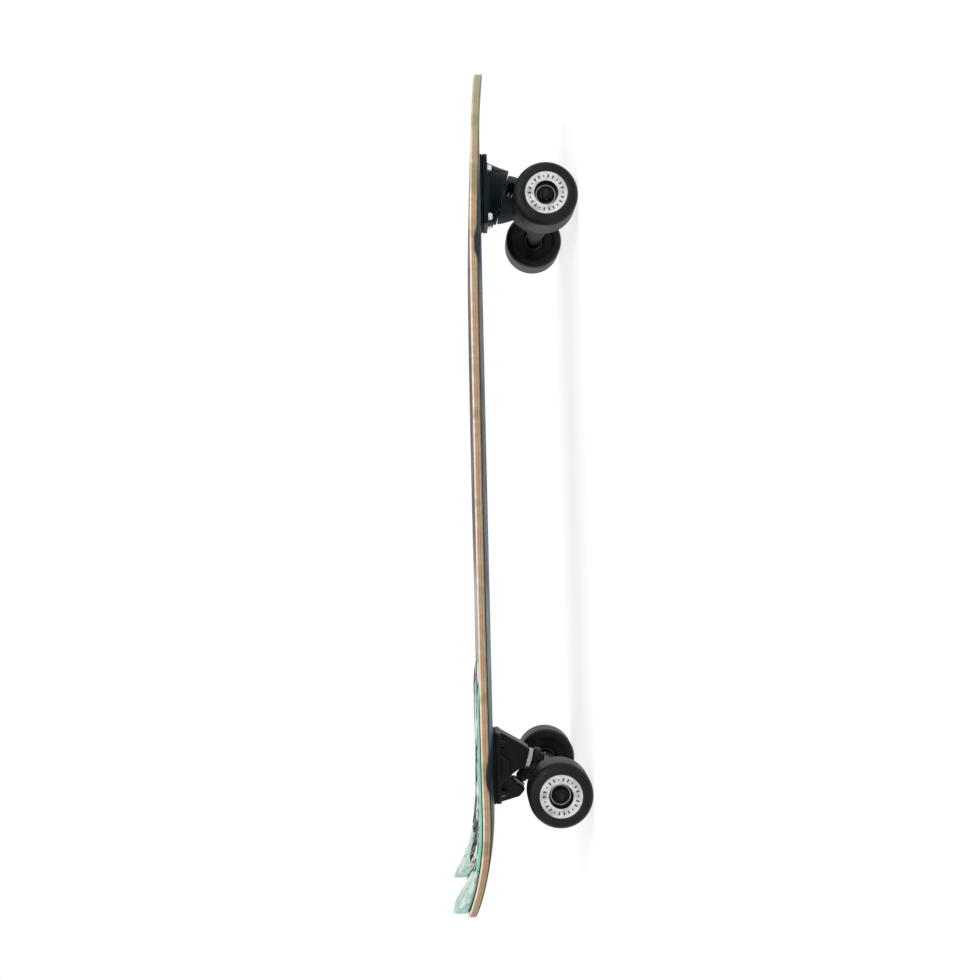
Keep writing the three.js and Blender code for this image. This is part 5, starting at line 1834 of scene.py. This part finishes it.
@dataclass
class FrontTruck(Truck):
    """The plate with its turret, the hanger that swings under it, and the spring that centres it."""

    plate_length: float = 80.0
    plate_lead: float = 4.0
    tilt: float = math.radians(15)
    pivot: tuple[float, float] = (-3.0, -25.5)
    axle: tuple[float, float] = (-30.0, -67.0)
    head_radius: tuple[float, float] = (28.4, 22.0)
    head_lead: float = 5.0
    head_top: float = -1.0
    head_height: float = 20.0
    well_radius: float = 16.9
    wire: float = 1.6
    coil: float = 14.2
    curls: float = 2.5
    pitch: float = 4.1
    grain: float = 0.85

    def __post_init__(self) -> None:
        """Work out the frames of the plate and of the pivot."""
        self.on_plate = Matrix.Translation(self.place)
        self.on_pivot = self.on_plate @ shift(self.pivot[0], 0, self.pivot[1]) @ spin(self.tilt, "Y")
        self.head_foot = self.head_top - self.head_height
        world = self.on_plate @ Vector((self.axle[0], 0, self.axle[1]))
        self.axle_in_pivot = self.on_pivot.inverted() @ world

    def _base(self) -> None:
        """Cast the plate and its turret."""
        ahead = Vector((math.cos(self.tilt), 0, -math.sin(self.tilt)))
        foot = Vector((self.pivot[0], 0, self.pivot[1])) + ahead * 2.0
        root = Vector((5.0, 0, self.plate_foot + 2))
        rings = []
        for i in range(9):
            t = i / 8
            bow = 0.9 * math.sin(math.pi * t)
            long = (Vector((1, 0, 0)) * t + ahead * (1 - t)).normalized()
            across = Vector((0, 28.5 - 6.5 * t - bow, 0))
            rings.append(ellipse(foot.lerp(root, t), long * (31.5 + 4.8 * t - bow), across, 72))
        on_pivot = self.on_plate.inverted() @ self.on_pivot
        nose = self.plate_lead + self.plate_length / 2
        cuts = self.bolt_room() + [
            rod(16.0, -14.0, 4.0, 64).placed(shift(nose + 14.4, 0, 0)), rod(12.25, -6.0, 2.5, 64).placed(on_pivot),
            rod(5.4, -6.0, 40.0, 48).placed(on_pivot)]
        solids = [self.plate(self.plate_length, self.plate_lead), lofted(rings)]
        mesh = cast("front_plate_casting", solids, cuts, self.grain)
        self.stand("front_plate_casting", mesh, "front_truck_coat", "truck_casting", "front_base", self.on_plate)

    def _hanger(self) -> None:
        """Cast the swinging hanger with its two side windows."""
        top, foot = self.head_top, self.head_foot
        wide, narrow = self.head_radius
        neck_inner, neck_outer, floor = 8.3, 11.7, foot + 4.6
        rings = []
        for i in range(9):
            t = i / 8
            radius = narrow + (wide - narrow) * t + 0.8 * math.sin(math.pi * t)
            middle = Vector((self.head_lead * (1 - t), 0, foot + (top - foot) * t))
            rings.append(ellipse(middle, Vector((radius, 0, 0)), Vector((0, radius, 0)), 96))
        axle, inner = self.axle_in_pivot, -10.0
        centre = Vector((axle.x, 0, axle.z))
        levels = ((axle.x - 12.5, 23.8, axle.z), (inner - 7.5, 17.0, foot + 2.3))
        web = lofted([[Vector((x, y, z)) for x, y in ((inner, -half), (inner, half), (low, half), (low, -half))]
                      for low, half, z in levels])
        well = self.well_radius
        cuts = [turned([(neck_outer, floor), (well, floor), (well, top + 4), (neck_outer, top + 4)], 96)]
        window = slab(rounded_plate(17.0, 9.0, 3.2, 8), neck_outer + 0.4, wide + 4)
        for side in Side:
            turn = shift(0, 0, top - 2.2 - 4.5) @ spin(side.value * math.radians(15), "Z")
            cuts.append(window.placed(turn @ spin(side.value * SQUARE, "X")))
        cuts += [rod(10.0, foot - 14, foot, 64), rod(neck_inner, foot - 30, top + 4, 64), self.axle_bore(centre)]
        beam, *bosses = self.beam(centre, 12.5, 11.0)
        mesh = cast("swing_hanger", [lofted(rings), beam, web] + bosses, cuts, self.grain)
        self.stand("swing_hanger", mesh, "front_truck_coat", "truck_casting", "front_hanger", self.on_pivot,
                   body="front_hanger")

    def _spring(self) -> None:
        """Wind the centring spring."""
        top, count = self.head_top - 0.35 - self.wire, 72
        path: Loop = [Vector((self.coil, 0, 3.6)), Vector((self.coil, 0, 1.0))]
        for i in range(count + 1):
            turn = self.curls * i / count
            angle = TURN * turn
            path.append(Vector((self.coil * math.cos(angle), self.coil * math.sin(angle), top - turn * self.pitch)))
        path.append(Vector((path[-1].x, path[-1].y, self.head_foot + GAP)))
        self.stand("swing_spring", tube(path, self.wire), "spring_steel", "bright_steel", "centring_spring",
                   self.on_pivot, 70.0, "front_hanger")

    def _pivot_parts(self) -> None:
        """Make the pivot bolt, its nut, the sleeve and the thrust bearing."""
        floor, neck = self.head_foot, 13.25
        foot = floor - 8.0 - 0.35 - 1.6
        bolt = [(0.0, foot), (4.3, foot)] + threaded(5.0, foot + 0.6, floor + 2, 1.25)
        bolt += [(5.0, floor + 2.5), (5.0, neck), (0.0, neck)]
        self.stand("swing_bolt", joined([turned(bolt, 36), hex_nut(7.1, 0.6, neck, neck + 6)]), "blackened_steel",
                   "black_steel", "pivot_bolt", self.on_pivot, 30.0)
        flip = self.on_pivot @ shift(0, 0, floor - GAP) @ spin(math.pi, "X")
        self.stand("swing_nut", hex_nut(7.45, 5.1, 0.0, 6.2, 1.8), "bright_zinc", "zinc_nut", "pivot_nut", flip, 28.0)
        self.stand("swing_sleeve", washer(7.95, 5.35, floor + GAP, self.head_top, 0.4), "ground_steel",
                   "bright_steel", "pivot_sleeve", self.on_pivot, 60.0)
        races = joined([washer(12.0, 8.2, -0.75, 0.45, 0.3), washer(11.4, 8.8, 0.4, 1.1, 0.2),
                        washer(12.0, 8.2, 1.05, 2.25, 0.3)])
        self.stand("swing_thrust_race", races, "ground_steel", "bright_steel", "thrust_bearing", self.on_pivot, 60.0)

    def build(self) -> None:
        """Make every piece of the truck and put it in place."""
        self._base()
        self._hanger()
        self._spring()
        self._pivot_parts()


@dataclass
class RearTruck(Truck):
    """The plate with its bushing block and pivot jut, and the hanger that leans on the kingpin."""

    plate_length: float = 79.0
    tilt: float = math.radians(16)
    seat: tuple[float, float] = (8.2, -38.6)
    seat_radius: float = 11.2
    brow: tuple[float, float] = (25.0, -33.0)
    cup: tuple[float, float] = (-19.4, -28.0)
    cup_radius: float = 8.4
    axle: tuple[float, float] = (-10.0, -67.0)
    bushing_height: float = 5.2
    ring_height: float = 8.0
    lower_height: float = 4.4
    washer_height: float = 1.4
    pin_radius: float = 4.7
    bore: float = 4.95
    grain: float = 0.8

    def __post_init__(self) -> None:
        """Work out the frames of the plate, the kingpin and the steering axis."""
        down = Vector((-math.sin(self.tilt), 0, -math.cos(self.tilt)))
        self.seat_middle = Vector((self.seat[0], 0, self.seat[1]))
        self.ring_top = self.bushing_height + 0.5
        self.ring_middle = self.seat_middle + down * (self.ring_top + self.ring_height / 2)
        self.cup_origin = Vector((self.cup[0], 0, self.cup[1]))
        self.steer = (self.ring_middle - self.cup_origin).normalized()
        self.on_plate = Matrix.Translation(self.place)
        self.pin_frame = along(down, self.seat_middle)
        self.steer_frame = along(self.steer, self.cup_origin)
        self.lower_top = self.ring_top + self.ring_height + GAP
        self.washer_top = self.lower_top + self.lower_height + GAP
        self.nut_top = self.washer_top + self.washer_height + GAP

    def _base(self) -> None:
        """Cast the plate with its block and jut."""
        half, foot = self.plate_length / 2, self.plate_foot
        top = foot + 2.7
        face = Vector((math.cos(self.tilt), 0, -math.sin(self.tilt)))
        inner = self.seat_middle + face * self.seat_radius
        outer = self.seat_middle - face * self.seat_radius
        notch = (self.cup[0] + self.cup_radius, (foot + self.cup[1]) / 2)
        block = [(notch[0], top), (half - 0.25, top), (half - 0.25, foot), self.brow, (inner.x, inner.z),
                 (outer.x, outer.z), (outer.x, outer.z + self.bushing_height), notch]
        across = Vector((self.steer.z, 0, -self.steer.x))
        tip = self.cup_origin + across * self.cup_radius * 1.15
        root = self.cup_origin - across * self.cup_radius * 1.2
        jut = [(0.25 - half, top), (0.25 - half, foot), (tip.x - 8.4, tip.z + 6.7), (tip.x - 2.6, tip.z + 1.3),
               (tip.x, tip.z), (root.x, root.z), (notch[0], top)]
        gusset = [(-17.0, top), (-17.0, foot), (-8.5, foot - 10), (8.5, foot - 10), (17.0, foot), (17.0, top)]
        solids = [self.plate(self.plate_length, 0.0), prism(block, 13.4), prism(jut, 12.6), prism(gusset, 25.0)]
        cuts = self.bolt_room() + [rod(5.0, -38.0, 4.0, 48).placed(self.pin_frame),
                                   rod(7.35, -9.7, 4.0, 48).placed(self.steer_frame)]
        mesh = cast("rear_plate_casting", solids, cuts, self.grain)
        self.stand("rear_plate_casting", mesh, "rear_truck_coat", "black_casting", "rear_base", self.on_plate)

    def _lean_room(self, shape: Shape) -> list[Shape]:
        """The room that a fixed piece on the kingpin needs in the hanger at every lean.

        Args:
            shape: The piece with its clearance, about the kingpin.

        Returns:
            The piece at several leans.
        """
        out = []
        for lean in (-12, -6, 0, 6, 12):
            turn = Matrix.Translation(self.cup_origin) @ spin(math.radians(lean), self.steer)
            out.append(shape.placed(turn @ Matrix.Translation(-self.cup_origin) @ self.pin_frame))
        return out

    def _hanger(self) -> None:
        """Cast the leaning hanger."""
        axle = Vector((self.axle[0], 0, self.axle[1]))
        reach = (self.ring_middle - self.cup_origin).length
        arm_foot, top, foot = 3.3, self.ring_top, self.ring_top + self.ring_height
        arm = turned([(0, -7.15), (2.8, -7.15), (4.6, -4.4), (4.6, arm_foot), (7.0, arm_foot + 2.3),
                      (7.0, reach * 0.42), (4.6, reach - 8.2), (0, reach - 8.2)], 64).placed(self.steer_frame)
        ring = rod(13.0, top, foot, 72, 0.8).placed(self.pin_frame)
        middle = self.cup_origin + self.steer * (arm_foot + 7.0)
        web = prism([(middle.x - 4.9, middle.z - 3.5), (axle.x - 10.35, axle.z + 4.6), (axle.x - 4.6, axle.z - 10.35),
                     (axle.x + 9.2, axle.z - 5.75), (self.ring_middle.x, self.ring_middle.z - 4.0),
                     (self.ring_middle.x - 8.2, self.ring_middle.z + 4.0), (middle.x, middle.z)], 8.0)
        cuts = [rod(8.2, top - 4, foot + 4, 64).placed(self.pin_frame), rod(13.0, -4.0, top, 64).placed(self.pin_frame)]
        for radius, past in ((11.1, 0.25), (8.3, 5.9), (5.6, 7.5)):
            cuts += self._lean_room(rod(radius, foot, self.nut_top + past, 64))
        cuts.append(self.axle_bore(axle))
        mesh = cast("lean_hanger", [arm, ring, web] + self.beam(axle, 11.5, 11.5), cuts, self.grain)
        self.stand("lean_hanger", mesh, "rear_truck_coat", "black_casting", "rear_hanger", self.on_plate,
                   body="rear_hanger")

    def _kingpin_stack(self) -> None:
        """Make the kingpin and all that it holds."""
        place = self.on_plate @ self.pin_frame
        radius, foot, bore = self.pin_radius, self.nut_top + 5.0 + 1.6, self.bore
        pin = [(0.0, -27.5), (radius, -27.5), (radius, self.nut_top - 1)]
        pin += threaded(radius, self.nut_top, foot - 0.6, 1.2) + [(4.0, foot), (0.0, foot)]
        self.stand("lean_kingpin", joined([turned(pin, 36), hex_nut(6.6, 0.6, -32.8, -27.3)]), "blackened_steel",
                   "black_steel", "kingpin", place, 30.0)
        low, high = GAP, GAP + self.bushing_height
        upper = ringed([(5.6, (low + high) / 2), (5.1, low), (10.7, low), (10.7, high), (6.3, high)], 0.9, 72)
        ends = [place @ Vector((0, 0, height)) * MM for height in (low, high)]
        self.stand("pale_upper_bushing", upper, "pale_bushing", "pale_bushing", "upper_bushing", place, 70.0,
                   bend=("rear_hanger", *ends))
        low, high = self.lower_top, self.lower_top + self.lower_height
        lower = ringed([(bore, (low + high) / 2), (bore, low), (9.8, low), (8.4, high), (bore, high)], 0.9, 72)
        self.stand("dark_lower_bushing", lower, "dark_bushing", "dark_bushing", "lower_bushing", place, 70.0)
        cup = washer(10.2, bore, self.washer_top, self.washer_top + self.washer_height, 0.5, 72)
        self.stand("kingpin_washer", cup, "dull_steel", "grey_steel", "cup_washer", place, 60.0)
        nut = hex_nut(6.4, 4.8, self.nut_top, self.nut_top + 3.6, 1.4)
        self.stand("kingpin_lock_nut", nut, "dull_steel", "grey_steel", "kingpin_nut", place, 28.0)

    def _pivot_cup(self) -> None:
        """Make the beige cup that the hanger's pin turns in."""
        outer, inner, lip = 7.1, self.bore, 8.4
        profile = [(0.0, -9.5), (outer, -9.5), (outer, 0.25), (lip, 0.25), (lip, 2.6), (inner, 2.6), (inner, -7.5),
                   (0.0, -7.5)]
        self.stand("beige_pivot_cup", turned(softened(profile, 0.5), 64), "pivot_cup", "beige_cup", "pivot_cup",
                   self.on_plate @ self.steer_frame, 60.0)

    def build(self) -> None:
        """Make every piece of the truck and put it in place."""
        self._base()
        self._hanger()
        self._kingpin_stack()
        self._pivot_cup()


# The studio


def seen_plainly(graph: Graph) -> Socket:
    """Tell what the camera, a gloss or glass sees from light on its way.

    Args:
        graph: The graph that asks.

    Returns:
        1 for what is seen, 0 for light.
    """
    path = graph.add("LightPath").outputs
    seen = graph.math("MAXIMUM", path["Is Camera Ray"], path["Is Glossy Ray"])
    return graph.math("MAXIMUM", seen, path["Is Transmission Ray"])


@dataclass
class Studio:
    """The floor, the soft light and the camera."""

    eye: tuple[float, float, float] = (-51.23, -1294.77, 134.75)
    right: tuple[float, float, float] = (-0.02323, -0.0287, -0.99932)
    up: tuple[float, float, float] = (0.99921, -0.03289, -0.02228)
    focal_share: float = 1132.88 / 980
    sensor: float = 36.0
    key_energy: float = 16.0
    fill_energy: float = 9.0
    ambient: float = 0.75
    floor_height: float = -0.3
    floor_half: float = 30.0
    floor_glow: float = 0.78

    def _floor(self) -> None:
        """Lay a pale floor that keeps a soft shadow, and that can be seen through from below."""
        mesh = bpy.data.meshes.new("floor")
        half, low = self.floor_half, self.floor_height * MM
        corners = [(-half, -half, low), (half, -half, low), (half, half, low), (-half, half, low)]
        mesh.from_pydata(corners, [], [(0, 1, 2, 3)])
        floor = linked("floor", mesh)
        material = bpy.data.materials.new("pale_floor")
        material.use_nodes = True
        graph = Graph(material.node_tree)
        nodes = graph.tree.nodes
        nodes.remove(nodes["Principled BSDF"])
        plain = graph.add("BsdfDiffuse", {"Color": (0.8, 0.8, 0.8, 1.0)})
        shade = graph.add("BsdfDiffuse", {"Color": (0.32, 0.32, 0.32, 1.0)})
        glow = graph.add("Emission", {"Color": (1.0, 1.0, 1.0, 1.0), "Strength": self.floor_glow})
        lit = graph.add("AddShader", {0: shade.outputs[0], 1: glow.outputs[0]})
        both = graph.add("MixShader", {0: seen_plainly(graph), 1: plain.outputs[0], 2: lit.outputs[0]})
        below = graph.add("NewGeometry").outputs["Backfacing"]
        clear = graph.add("BsdfTransparent")
        whole = graph.add("MixShader", {0: below, 1: both.outputs[0], 2: clear.outputs[0]})
        graph.tree.links.new(whole.outputs[0], nodes["Material Output"].inputs["Surface"])
        mesh.materials.append(material)

    def _world(self) -> None:
        """Light everything evenly, and show white behind it."""
        world = bpy.data.worlds.new("soft_room")
        world.use_nodes = True
        bpy.context.scene.world = world
        graph = Graph(world.node_tree)
        back = world.node_tree.nodes["Background"]
        strength = graph.add("MapRange", {0: seen_plainly(graph), 1: 0.0, 2: 1.0, 3: self.ambient, 4: 1.0})
        back.inputs["Color"].default_value = (1.0, 1.0, 1.0, 1.0)
        world.node_tree.links.new(strength.outputs[0], back.inputs["Strength"])

    def _lamp(self, name: str, place: Vector, size: float, energy: float) -> None:
        """Hang a soft lamp that looks at the board.

        Args:
            name: Its name.
            place: Where it hangs, in metres.
            size: Its size in metres.
            energy: Its power.
        """
        data = bpy.data.lights.new(name, "AREA")
        data.shape = "SQUARE"
        data.size = size
        data.energy = energy
        lamp = linked(name, data)
        lamp.location = place
        lamp.rotation_euler = (-place).to_track_quat("-Z", "Y").to_euler()

    def build(self) -> None:
        """Set the floor, the light and the camera."""
        self._floor()
        self._world()
        self._lamp("key_lamp", Vector((0.7, -1.5, 1.4)), 1.3, self.key_energy)
        self._lamp("fill_lamp", Vector((-1.3, 1.2, 1.1)), 1.6, self.fill_energy)
        data = bpy.data.cameras.new("photo_camera")
        data.sensor_width = self.sensor
        data.lens = self.sensor * self.focal_share
        data.clip_end = 100.0
        right, up = Vector(self.right).normalized(), Vector(self.up).normalized()
        back = right.cross(up).normalized()
        matrix = Matrix((right, back.cross(right).normalized(), back)).transposed().to_4x4()
        matrix.translation = Vector(self.eye) * MM
        camera = linked("photo_camera", data)
        camera.matrix_world = matrix
        bpy.context.scene.camera = camera
        bpy.context.scene.view_settings.view_transform = "Standard"


def main() -> None:
    """Build the board piece by piece, then its studio."""
    logging.basicConfig(level=logging.INFO, format="%(message)s")
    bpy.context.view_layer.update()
    paints = all_paints()
    shape = BoardShape()
    front_place, rear_place = (Vector((PLATE_PLACES[end], 0.0, shape.belly)) for end in End)
    Deck(paints, shape).build()
    pad = TractionPad(paints, shape)
    pad.build()
    TailKick(paints, shape, pad).build()
    MountHardware(paints, End.FRONT, front_place, 80.0, 4.0, ("bright_zinc", "zinc_nut")).build()
    MountHardware(paints, End.REAR, rear_place, 79.0, 0.0, ("blackened_steel", "black_nut")).build()
    FrontTruck(paints, front_place).build()
    RearTruck(paints, rear_place).build()
    for end in End:
        axle = Vector((AXLE_PLACES[end], 0.0, AXLE_HEIGHT))
        Axle(paints, end, axle).build()
        for side in Side:
            WheelCorner(paints, end, side, axle).build()
    Studio().build()


if __name__ == "__main__":
    main()
